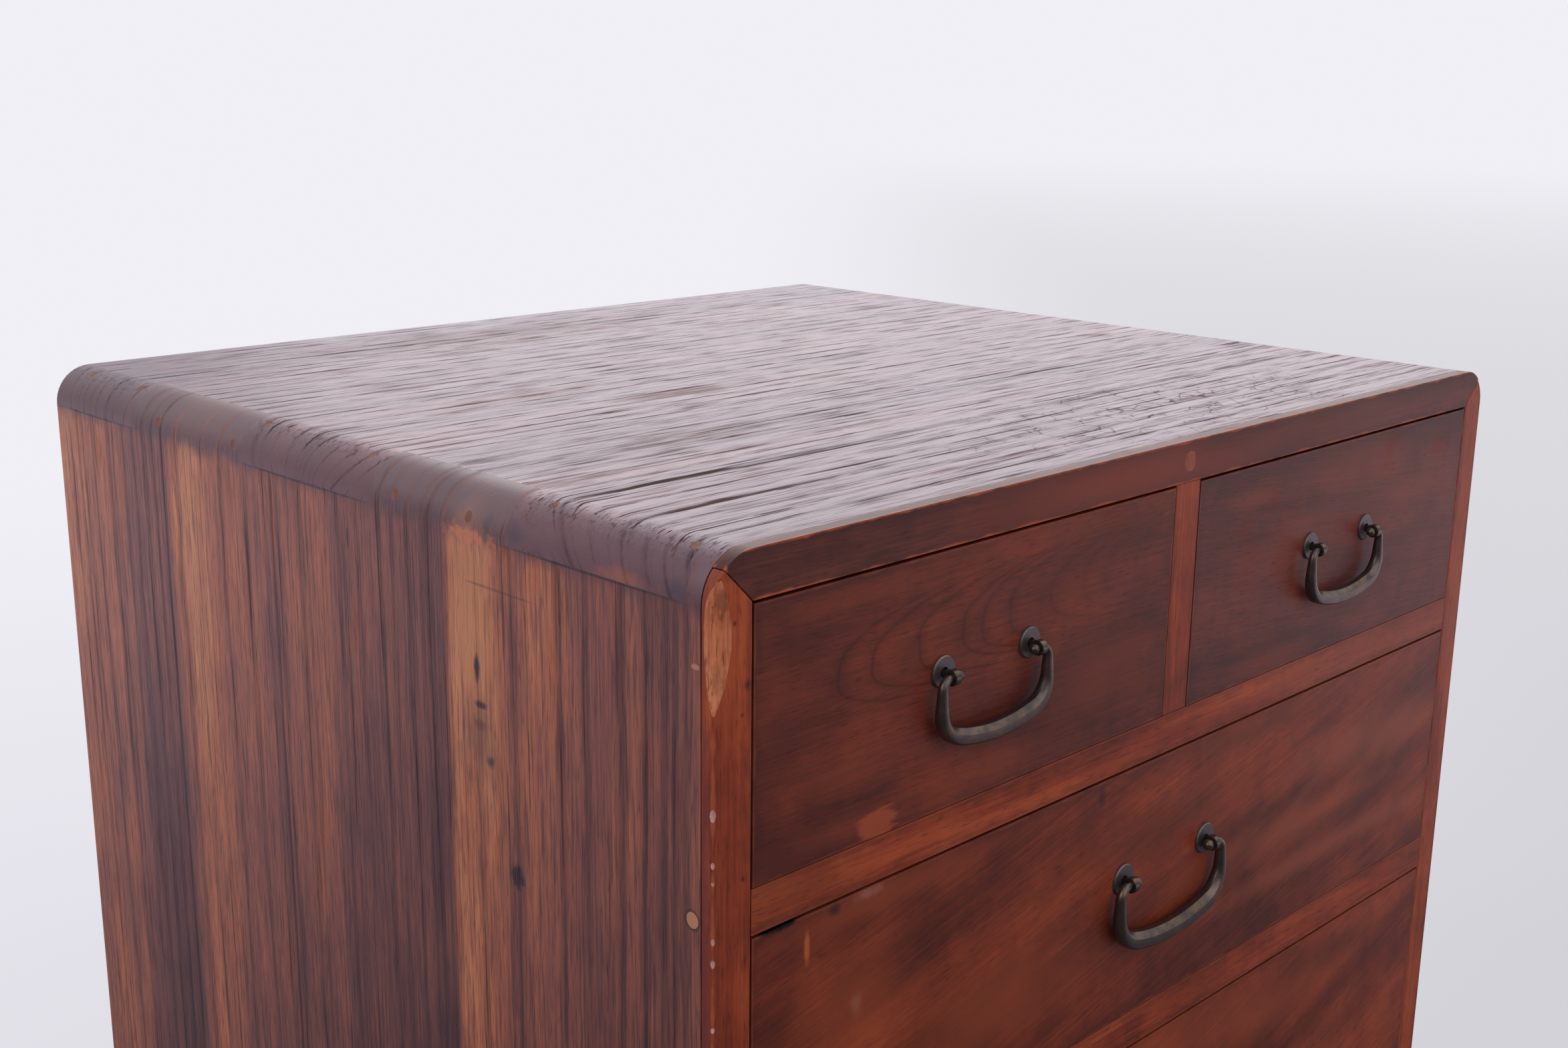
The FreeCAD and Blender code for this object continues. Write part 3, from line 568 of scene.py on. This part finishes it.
def hardwood(name, look, low=None, high=None):
    material, tree, shader = newMaterial(name, look)
    place = grainPlace(tree, look)
    drift = noise(tree, place, *look["bandSize"], *figure["drift"])
    fine = noise(tree, place, *figure["fine"])
    cloud = noise(tree, objectPlace(tree), *figure["cloud"])
    level = sway(tree, 0.5, fade(tree, drift, *figure["driftLimits"]), look["bandContrast"])
    level = sway(tree, level, fine, look["fineContrast"])
    level = sway(tree, level, cloud, look["cloudContrast"])
    colour = ramp(tree, level, look["colours"])
    if "arches" in look:
        line = times(tree, archLines(tree, look["arches"]), look["arches"]["share"])
        colour = blend(tree, line, colour, look["tickColour"])
    ticks = flecks(tree, place, *figure["ticks"])
    colour = blend(tree, times(tree, ticks, look["tickShare"]), colour, look["tickColour"])
    height = add(tree, times(tree, fine, figure["fineDepth"]), ticks, -figure["tickDepth"])
    matt = times(tree, fade(tree, cloud, *figure["mattLimits"]), figure["mattShare"])
    if low is not None:
        edge = arrisDistance(tree, low, high)
        ragged = noise(tree, objectPlace(tree), *figure["ragged"])
        for kind in ("grime", "worn"):
            uneven, reach = figure[kind]
            share = fade(tree, sway(tree, edge, ragged, uneven), reach, 0.0)
            colour = blend(tree, times(tree, share, look[kind + "Share"]), colour, look[kind + "Colour"])
    colour, height, matt = addMarks(tree, look, colour, height, matt)
    rough = between(tree, matt, look["roughness"], look["roughest"])
    gloss = between(tree, matt, look["specular"], look["mattGloss"])
    wire(tree, shader, look, height, {"Base Color": colour, "Roughness": rough, "Specular IOR Level": gloss})
    return material


inkBrown = paint(60, 30, 25)
emberBrown = paint(138, 62, 34)

frameLook = {
    "turn": (0, 0, 0), "shift": (0.0, 0.0, 0.0), "roughness": 0.42, "roughest": 0.85, "specular": 0.19,
    "mattGloss": 0.08, "bump": 0.4, "relief": 0.12 * mm,
    "bandSize": (7, 60), "bandContrast": 0.4, "fineContrast": 0.9, "cloudContrast": 0.8,
    "colours": [(0.1, paint(94, 36, 21)), (0.45, paint(134, 54, 28)), (0.85, paint(162, 74, 36))],
    "tickColour": paint(48, 22, 20), "tickShare": 0.5,
    "grimeShare": 0.4, "grimeColour": paint(62, 30, 26),
    "wornShare": 0.6, "wornColour": paint(168, 80, 46),
    "marks": [stain(150, 392, 105, 16, 0.4, paint(98, 54, 50)), stain(-192, 392, 26, 16, 0.35, inkBrown)],
}

topFacingLook = dict(
    frameLook, shift=(0.2, 0.3, 0.4), wornShare=0.85,
    marks=[stain(130, 492, 100, 9, 0.4, paint(126, 66, 52)),
           stain(-35, 492, 95, 9, 0.75, paint(126, 56, 38))],
    colours=[(0.1, paint(54, 28, 25)), (0.55, paint(78, 39, 32)), (0.95, paint(116, 55, 37))])

drawerLook = dict(
    frameLook, roughness=0.4, bandSize=(5, 34), bandContrast=0.5, fineContrast=0.8, cloudContrast=0.9,
    colours=[(0.1, paint(72, 31, 23)), (0.4, paint(102, 42, 26)), (0.68, paint(126, 53, 29)),
             (0.9, paint(146, 64, 34))],
    grimeShare=0.35, wornShare=0.3, wornColour=paint(150, 76, 46))

drawerLooks = {
    "small_left": dict(
        drawerLook, shift=(0.7, 0.1, 0.3), bandSize=(4, 18), bandContrast=0.4,
        colours=[(0.1, paint(62, 29, 24)), (0.45, paint(88, 38, 28)), (0.9, paint(122, 52, 31))],
        arches={"tip": (-0.1754, -0.2, 0.4555), "lean": 0.04, "bluntness": 105e-6, "wave": 14 * mm,
                "waveSize": (30, 30), "spacing": 16 * mm, "rise": 22 * mm, "run": 140 * mm,
                "closed": -25 * mm, "share": 0.6},
        marks=[*stains(inkBrown, (-203, 440, 14, 12, 0.4), (-200, 404, 20, 9, 0.4), (-92, 396, 44, 6, 0.35),
                       (-79, 459, 12, 6, 0.35), (-38, 473, 34, 9, 0.5)),
               *stains(emberBrown, (-176, 424, 30, 6, 0.3), (-44, 424, 30, 14, 0.35), (-176, 407, 24, 5, 0.3),
                       (-101, 409, 22, 5, 0.3), (-168, 478, 30, 4, 0.3)),
               frontMark(-160, 404, 9.4, 4.8, 0.62, paint(160, 74, 43), ragged=1.3, matt=0.2,
                         fine=(60, 520))]),
    "small_right": dict(
        drawerLook, shift=(1.7, 0.3, 0.9), turn=(0, math.radians(-5), 0), bandSize=(3, 22),
        colours=[(0.1, paint(58, 30, 26)), (0.45, paint(82, 40, 33)), (0.9, paint(112, 52, 38))],
        marks=[stain(27, 478, 16, 5, 0.4, inkBrown), stain(44, 471, 18, 4, 0.35, emberBrown),
               stain(108, 441, 26, 6, 0.3, inkBrown),
               stain(160, 436, 50, 4, 0.4, inkBrown, turn=(0, -0.3, 0)),
               stain(60, 412, 34, 4, 0.3, inkBrown), stain(88, 455, 30, 7, 0.35, emberBrown),
               stain(60, 404, 40, 5, 0.3, emberBrown),
               stain(130, 473, 60, 10, 0.35, emberBrown, turn=(0, -0.3, 0)),
               stain(176, 456, 36, 7, 0.3, emberBrown)]),
    "second": dict(
        drawerLook, shift=(2.7, 0.6, 0.5), turn=(0, math.radians(12), 0), bandSize=(4.5, 26),
        bandContrast=0.45,
        marks=[stain(-112, 366, 34, 4, 0.3, inkBrown, turn=(0, 0.22, 0)),
               *stains(emberBrown, (-168, 345, 30, 24, 0.55), (-150, 379, 60, 6, 0.55)),
               stain(-204, 352, 9, 12, 0.4, inkBrown), stain(-95, 318, 50, 18, 0.6, emberBrown),
               stain(-16, 356, 50, 12, 0.45, inkBrown),
               stain(62, 378, 70, 7, 0.4, inkBrown, turn=(0, 0.3, 0)),
               stain(150, 350, 70, 12, 0.5, paint(152, 78, 52), ragged=2.0, fine=(12, 60), turn=(0, 0.4, 0)),
               stain(100, 328, 60, 9, 0.5, paint(152, 76, 48), ragged=1.6, fine=(12, 60), turn=(0, 0.4, 0)),
               stain(150, 322, 60, 4, 0.4, inkBrown, ragged=1.6, fine=(12, 60), turn=(0, 0.4, 0)),
               stain(130, 309, 90, 6, 0.45, paint(152, 78, 52), fine=(12, 60), turn=(0, 0.3, 0)),
               *stains(emberBrown, (-69, 343, 12, 6, 0.3), (24, 326, 30, 10, 0.4)),
               frontMark(-201, 384.6, 8, 2.2, 1.0, paint(16, 11, 12), ragged=1.2, soft=0.5, fine=(200, 300)),
               frontMark(-189.5, 373.5, 1.3, 5.8, 0.75, paint(176, 84, 42), ragged=0.6, soft=0.6),
               frontMark(-177.7, 381.6, 2.8, 2.2, 0.8, paint(48, 28, 28), soft=0.8, depth=0.6),
               frontMark(-41.9, 378.3, 2.8, 3.6, 0.75, paint(52, 30, 30), soft=0.8, depth=0.6),
               frontMark(-162.7, 382.3, 6.5, 1.8, 0.5, paint(150, 96, 84), ragged=1.2, soft=0.9),
               frontMark(-167.3, 346.5, 3, 4.4, 0.45, paint(140, 88, 66), ragged=0.9, soft=0.9)]),
    "third": dict(
        drawerLook, shift=(3.9, 0.2, 0.1), turn=(0, math.radians(16), 0), bandSize=(4, 22),
        marks=[stain(140, 256, 60, 7, 0.4, inkBrown),
               *stains(emberBrown, (84, 247, 54, 13, 0.55), (150, 276, 90, 9, 0.4), (0, 262, 60, 20, 0.45)),
               stain(151, 215, 40, 10, 0.35, inkBrown)]),
    "fourth": dict(
        drawerLook, shift=(5.1, 0.8, 0.7), turn=(0, math.radians(8), 0), bandSize=(4, 24),
        bandContrast=0.6),
}

leftFacingMarks = [mark((-227.5, -195.5, 250), (1.2, 3.5, 300), 0.7, paint(98, 44, 42), ragged=0.8, soft=0.6,
                        fine=(60, 60))]
for x, z, size in ((-214.5, 461.5, 1.4), (-219.5, 480, 0.7), (-216.5, 453, 0.6), (-216, 404, 0.8)):
    leftFacingMarks.append(stain(x, z, size, 1.3 * size, 0.75, paint(44, 26, 26), ragged=0.7,
                                 fine=(500, 500)))

wornLook = dict(
    frameLook, turn=uprightTurn, shift=(0.4, 0.9, 0.2), roughness=0.5, cloudContrast=0.9, fineContrast=1.2,
    colours=[(0.15, paint(122, 60, 38)), (0.5, paint(164, 88, 56)), (0.85, paint(198, 124, 86))],
    tickColour=paint(92, 50, 36), tickShare=0.6,
    marks=[stain(-223.5, 487, 2.4, 4.6, 0.7, paint(112, 60, 42), ragged=2.0, soft=0.6, fine=(500, 500)),
           stain(-224.5, 465, 1.6, 5, 0.5, paint(126, 70, 46), ragged=2.0, soft=0.8, fine=(500, 500))])

chipLook = dict(
    wornLook, tickShare=0.2, marks=[],
    colours=[(0.15, paint(140, 92, 82)), (0.5, paint(182, 138, 128)), (0.85, paint(206, 168, 158))])


# dark bronze of the handles

bronzeLook = {
    "dark": paint(92, 82, 79), "warm": paint(110, 92, 78), "bare": paint(160, 130, 100),
    "pits": paint(30, 28, 28), "roughness": 0.30, "uneven": 0.35, "specular": 0.5, "metallic": 0.85,
    "grit": 900, "cloud": 160, "rubbedSide": (0, -0.62, 0.78), "rubbedShare": 0.3, "pitShare": 0.35,
    "bump": 0.3, "relief": 0.1 * mm}
plateLook = dict(
    bronzeLook, dark=paint(104, 97, 98), warm=paint(112, 98, 88), bare=paint(190, 150, 104), roughness=0.45)


def bronze(name, look):
    material, tree, shader = newMaterial(name, look)
    shader.inputs["Metallic"].default_value = look["metallic"]
    place = objectPlace(tree)
    cloud = noise(tree, place, look["cloud"], look["cloud"], 3.0)
    grit = noise(tree, place, look["grit"], look["grit"], 3.0, 0.6)
    colour = blend(tree, fade(tree, cloud, 0.45, 0.75), look["dark"], look["warm"])
    rubbed = fade(tree, facing(tree, look["rubbedSide"]), 0.90, 0.985)  # where fingers polish it
    rubbed = times(tree, rubbed, fade(tree, cloud, 0.35, 0.6))
    colour = blend(tree, times(tree, rubbed, look["rubbedShare"]), colour, look["bare"])
    colour = blend(tree, times(tree, fade(tree, grit, 0.6, 0.75), look["pitShare"]), colour, look["pits"])
    rough = sway(tree, look["roughness"], grit, look["uneven"])
    wire(tree, shader, look, grit, {"Base Color": colour, "Roughness": rough})
    return material


# the boards: each is a copy of its frame node with the arrises rounded over

rounding = {"seam": 0.22 * mm, "facing": 0.8 * mm, "rail": 0.5 * mm, "front": 0.7 * mm, "drawer": 0.6 * mm}
meshLook = {"mergeReach": 0.01 * mm, "flatWithin": 0.5, "arrisFrom": 35, "smoothBelow": 40, "wornBelow": 30}


def pickOnly(piece):
    bpy.ops.object.select_all(action="DESELECT")
    piece.select_set(True)
    bpy.context.view_layer.objects.active = piece


def mergedCopy(node):
    # the node's loose triangles, merged and dissolved back to whole faces
    piece = bpy.data.objects.new(node + "_board", nodes[node].data.copy())
    bpy.context.scene.collection.objects.link(piece)
    pickOnly(piece)
    bpy.ops.mesh.customdata_custom_splitnormals_clear()
    bpy.ops.object.mode_set(mode="EDIT")
    bpy.ops.mesh.select_all(action="SELECT")
    bpy.ops.mesh.remove_doubles(threshold=meshLook["mergeReach"])
    bpy.ops.mesh.dissolve_limited(angle_limit=math.radians(meshLook["flatWithin"]))
    bpy.ops.object.mode_set(mode="OBJECT")
    return piece


def smoothOver(piece, degrees):
    # smooth round the arrises, with the flat faces kept flat
    pickOnly(piece)
    bpy.ops.object.shade_smooth_by_angle(angle=math.radians(degrees))
    flat = piece.modifiers.new("flat", "WEIGHTED_NORMAL")
    flat.keep_sharp = True
    bpy.ops.object.modifier_apply(modifier="flat")


def roundArrises(piece, width, segments):
    pickOnly(piece)
    bevel = piece.modifiers.new("arris", "BEVEL")
    bevel.width = width
    bevel.segments = segments
    bevel.limit_method = "ANGLE"
    bevel.angle_limit = math.radians(meshLook["arrisFrom"])
    bevel.miter_outer = "MITER_ARC"
    bpy.ops.object.modifier_apply(modifier="arris")
    smoothOver(piece, meshLook["smoothBelow"])


def clad(piece, material):
    piece.data.materials.clear()
    piece.data.materials.append(material)


def settle(piece, node):
    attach(piece, bodyOf[node])
    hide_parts(node)


def board(node, material, width, segments=2):
    piece = mergedCopy(node)
    roundArrises(piece, width, segments)
    clad(piece, material)
    settle(piece, node)


# the left facing's front arris: a hand-worn hollow near the top and small chips below it
wornHollow = {"middle": 476.5 * mm, "onFront": -220.6 * mm, "onSide": -196.2 * mm, "halfHeight": 22.5 * mm,
              "facets": 90, "unevenness": 0.15 * mm, "seed": 4, "length": 40 * mm}
chipShape = {"segments": 20, "rings": 14, "unevenness": 0.12 * mm}
arrisChips = ((426.2, 2.4, 1.0), (411.3, 1.5, 0.7), (405.9, 0.9, 0.6), (388.2, 1.5, 0.7), (381.5, 1.6, 0.8),
              (360.9, 1.2, 0.7))  # the height of each, half its length, and its depth, in millimetres


def cutAway(piece, cutter, material):
    # takes the cutter's shape out of the piece; the new faces take the cutter's material
    cutter.data.materials.append(material)
    pickOnly(piece)
    cut = piece.modifiers.new("worn", "BOOLEAN")
    cut.operation = "DIFFERENCE"
    cut.solver = "EXACT"
    cut.material_mode = "TRANSFER"
    cut.object = cutter
    bpy.ops.object.modifier_apply(modifier="worn")
    bpy.data.objects.remove(cutter)


def capRadius(half, depth):
    return (half ** 2 + depth ** 2) / (2 * depth)


def unevenCutter(unevenness, seed):
    # the new cutter, its corners moved a little, so that the cut looks worn by hand
    bpy.ops.object.mode_set(mode="EDIT")
    bpy.ops.transform.vertex_random(offset=unevenness, seed=seed)
    bpy.ops.object.mode_set(mode="OBJECT")
    return bpy.context.object


def hollowCutter(look, corner):
    # a wide drum lying against the arris, so that its round side leaves a long shallow hollow
    onFront = Vector((look["onFront"], corner.y, look["middle"]))
    onSide = Vector((corner.x, look["onSide"], look["middle"]))
    along = (onFront - onSide).normalized()
    outward = Vector((along.y, -along.x, 0))
    depth = (Vector((corner.x, corner.y, look["middle"])) - onSide).dot(outward)
    radius = capRadius(look["halfHeight"], depth)
    bpy.ops.object.select_all(action="DESELECT")
    bpy.ops.mesh.primitive_cylinder_add(vertices=look["facets"], radius=radius, depth=look["length"],
                                        location=(onFront + onSide) / 2 + outward * radius,
                                        rotation=along.to_track_quat("Z", "Y").to_euler())
    return unevenCutter(look["unevenness"], look["seed"])


def chipCutter(height, half, depth, corner):
    # a ball that just bites into the arris; its height is also its seed
    radius = capRadius(half * mm, depth * mm)
    outward = Vector((-1, -1, 0)).normalized()
    middle = Vector((corner.x, corner.y, height * mm)) + outward * (radius - depth * mm)
    bpy.ops.object.select_all(action="DESELECT")
    bpy.ops.mesh.primitive_uv_sphere_add(segments=chipShape["segments"], ring_count=chipShape["rings"],
                                         radius=radius, location=middle)
    return unevenCutter(chipShape["unevenness"], int(height))


def wornFacing(node, material):
    piece = mergedCopy(node)
    roundArrises(piece, rounding["facing"], 3)
    clad(piece, material)
    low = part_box(node)[0]
    corner = Vector((low[0], low[1], 0))
    cutAway(piece, hollowCutter(wornHollow, corner), hardwood("wornWood", wornLook))
    chipWood = hardwood("chippedWood", chipLook)
    for chip in arrisChips:
        cutAway(piece, chipCutter(*chip, corner), chipWood)
    smoothOver(piece, meshLook["wornBelow"])
    settle(piece, node)


board("top_board", kiri("brushedTop", topLook), rounding["seam"])
board("left_side", kiri("leftSideWood", sideLook), rounding["seam"])
board("right_side", kiri("rightSideWood", farSideLook), rounding["seam"])
print("top and sides made")

board("facing_top", hardwood("topFacingWood", topFacingLook, *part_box("facing_top")),
      rounding["facing"], 3)
board("facing_bottom", hardwood("bottomFacingWood", dict(frameLook, shift=(1.2, 0.1, 0.4)),
                                *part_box("facing_bottom")), rounding["facing"], 3)
wornFacing("facing_left", hardwood("leftFacingWood", dict(frameLook, turn=uprightTurn, marks=leftFacingMarks),
                                   *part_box("facing_left")))
board("facing_right", hardwood("rightFacingWood", dict(frameLook, turn=uprightTurn, shift=(2.0, 0.5, 0.0)),
                               *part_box("facing_right")), rounding["facing"], 3)
for number, rail in enumerate(("upper_rail", "middle_rail", "lower_rail")):
    look = dict(frameLook, shift=(0.9 * number, 0.3, 0.2 * number), wornShare=0.25)
    board(rail, hardwood(rail + "_wood", look, *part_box(rail)), rounding["rail"])
postLook = dict(frameLook, turn=uprightTurn, shift=(3.0, 0.2, 0.1), wornShare=0.2)
board("divider_post", hardwood("postWood", postLook, *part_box("divider_post")), rounding["rail"])
print("face frame made")

bottomLook = dict(topLook, shift=(0.9, 0.0, 0.0), face=15 * mm, marks=[])
board("bottom_board", kiri("bottomWood", bottomLook), rounding["seam"])
agedWood = kiri("agedWood", agedLook)
agedUpright = kiri("agedUprightWood", dict(agedLook, turn=uprightTurn, endAxis=(0, 0, 1)))
for name in ("upper_shelf", "middle_shelf", "lower_shelf", "partition_board"):
    board(name, agedWood, rounding["seam"])
board("back_panel", agedUpright, rounding["seam"])
pegWood = kiri("pegWood", pegLook)
for name in ("case_pegs", "back_pegs"):
    clad(nodes[name], pegWood)
clad(nodes["facing_plug"], kiri("plugWood", plugLook))

paleWood = kiri("paleWood", paleLook)
paleDeep = kiri("paleDeepWood", dict(paleLook, turn=(0, 0, math.radians(90)), endAxis=(0, 1, 0)))
metal = bronze("darkBronze", bronzeLook)
plateMetal = bronze("plateBronze", plateLook)
for drawer, look in drawerLooks.items():
    face = drawer + "_front"
    board(face, hardwood(drawer + "_wood", look, *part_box(face)), rounding["front"], 3)
    for part in ("left_side", "right_side"):
        board(drawer + "_" + part, paleDeep, rounding["drawer"])
    for part in ("back", "base"):
        board(drawer + "_" + part, paleWood, rounding["drawer"])
    for part in ("split_pins", "bail"):
        clad(nodes[drawer + "_" + part], metal)
    clad(nodes[drawer + "_rosettes"], plateMetal)
print("drawers made")


# floor, light and camera

stageLook = {
    "floor": paint(226, 223, 231), "sky": paint(240, 239, 245), "mirrored": paint(240, 230, 246),
    "behind": (-0.2, 2.1, 0.03, 1.12), "beside": (0.1, 1.9, 0.03, 1.1), "fill": 0.62, "front": 0.35,
    "size": 60.0, "roughness": 0.9, "specular": 0.1, "lift": (0.3, 2.2, 0.5, 1.0),
    "higher": (0.0, 0.5, 0.8, 1.4), "shadeSide": (0.71, -0.71, 0), "shade": 0.2, "shadeLimits": (-0.2, 1.0),
    "shadeReach": (12.0, 1.0)}


def makeFloor():
    # near the chest it is a lit floor that takes the shadow, and further off it is as bright as the sky
    bpy.ops.object.select_all(action="DESELECT")
    bpy.ops.mesh.primitive_plane_add(size=stageLook["size"], location=(0, 0, 0))
    floor = bpy.context.object
    floor.name = "floor"
    material, tree, shader = newMaterial("paleFloor", stageLook)
    place = objectPlace(tree)
    x, y, z = parted(tree, place)
    reach = vector(tree, "LENGTH", place)
    # painted shade: the floor's colour and glow are darker towards the camera's right, fading out far away
    side = vector(tree, "DOT_PRODUCT", place, stageLook["shadeSide"])
    shade = fade(tree, side, *stageLook["shadeLimits"])
    shade = times(tree, shade, fade(tree, reach, *stageLook["shadeReach"]))
    shade = add(tree, 1.0, shade, -stageLook["shade"])
    shaded = put(tree, "VectorMath", {0: stageLook["floor"][:3], "Scale": shade}, operation="SCALE")
    tree.links.new(shaded.outputs[0], shader.inputs["Base Color"])
    behind, beside = fade(tree, y, *stageLook["behind"]), fade(tree, x, *stageLook["beside"])
    mirrored = add(tree, behind, beside, calc(tree, "SUBTRACT", 1.0, behind))
    glow = put(tree, "Emission", {"Color": stageLook["sky"], "Strength": shade}).outputs[0]
    dim = put(tree, "Emission", {"Color": stageLook["mirrored"], "Strength": mirrored}).outputs[0]
    path = put(tree, "LightPath").outputs
    both = put(tree, "MixShader", {0: path["Is Glossy Ray"], 1: shader.outputs[0], 2: dim}).outputs[0]
    seen = times(tree, path["Is Camera Ray"], fade(tree, reach, *stageLook["lift"]))
    both = put(tree, "MixShader", {0: seen, 1: both, 2: glow}).outputs[0]
    tree.links.new(both, tree.nodes["Material Output"].inputs["Surface"])
    floor.data.materials.append(material)


def makeSky():
    # pale all round to the eye; polished surfaces find it darker in front of the chest than behind
    world = bpy.data.worlds.new("softRoom")
    bpy.context.scene.world = world
    world.use_nodes = True
    tree = world.node_tree
    ground = tree.nodes["Background"]
    ground.inputs["Color"].default_value = stageLook["sky"]
    path = put(tree, "LightPath").outputs
    x, y, z = parted(tree, put(tree, "TexCoord").outputs["Generated"])
    mirrored = fade(tree, y, -0.7, 0.2, stageLook["front"], 1.0)
    mirrored = times(tree, mirrored, fade(tree, z, *stageLook["higher"]))
    level = add(tree, stageLook["fill"], path["Is Glossy Ray"], -stageLook["fill"])
    level = add(tree, level, path["Is Glossy Ray"], mirrored)
    seen = calc(tree, "MAXIMUM", path["Is Camera Ray"], path["Is Transmission Ray"])
    tree.links.new(calc(tree, "MAXIMUM", level, seen), ground.inputs["Strength"])


lampTarget = (0, 0, 0.3)
lampLooks = [
    {"name": "windowLamp", "at": (2.2, 1.7, 2.0), "size": 3.4, "power": 44.0},
    {"name": "sideLamp", "at": (-2.6, 0.3, 1.9), "size": 2.0, "power": 27.0},
    {"name": "frontLamp", "at": (0.2, -2.6, 1.8), "size": 2.4, "power": 18.0},
]


def makeLamps():
    for look in lampLooks:
        lamp = bpy.data.lights.new(look["name"], "AREA")
        lamp.size = look["size"]
        lamp.energy = look["power"]
        holder = bpy.data.objects.new(look["name"], lamp)
        bpy.context.scene.collection.objects.link(holder)
        holder.location = look["at"]
        holder.rotation_euler = (Vector(lampTarget) - Vector(look["at"])).to_track_quat("-Z", "Y").to_euler()


# where the photograph was taken from, worked out from the case's edges in it
cameraLook = {"at": (-0.54725, -0.54515, 0.62984), "lens": 42.37, "sensor": 36, "nearest": 0.01,
              "right": (0.70802, -0.70611, 0.01085), "down": (-0.16784, -0.18318, -0.96865),
              "ahead": (0.68596, 0.68400, -0.24821)}


def makeCamera():
    lens = bpy.data.cameras.new("camera")
    lens.sensor_width = cameraLook["sensor"]
    lens.lens = cameraLook["lens"]
    lens.clip_start = cameraLook["nearest"]
    camera = bpy.data.objects.new("camera", lens)
    bpy.context.scene.collection.objects.link(camera)
    right, down, ahead = (Vector(cameraLook[key]) for key in ("right", "down", "ahead"))
    turned = Matrix((right, -down, -ahead)).transposed()
    camera.matrix_world = Matrix.Translation(cameraLook["at"]) @ turned.to_4x4()
    bpy.context.scene.camera = camera


makeFloor()
makeSky()
makeLamps()
makeCamera()
bpy.context.scene.view_settings.view_transform = "Standard"
print("stage made")
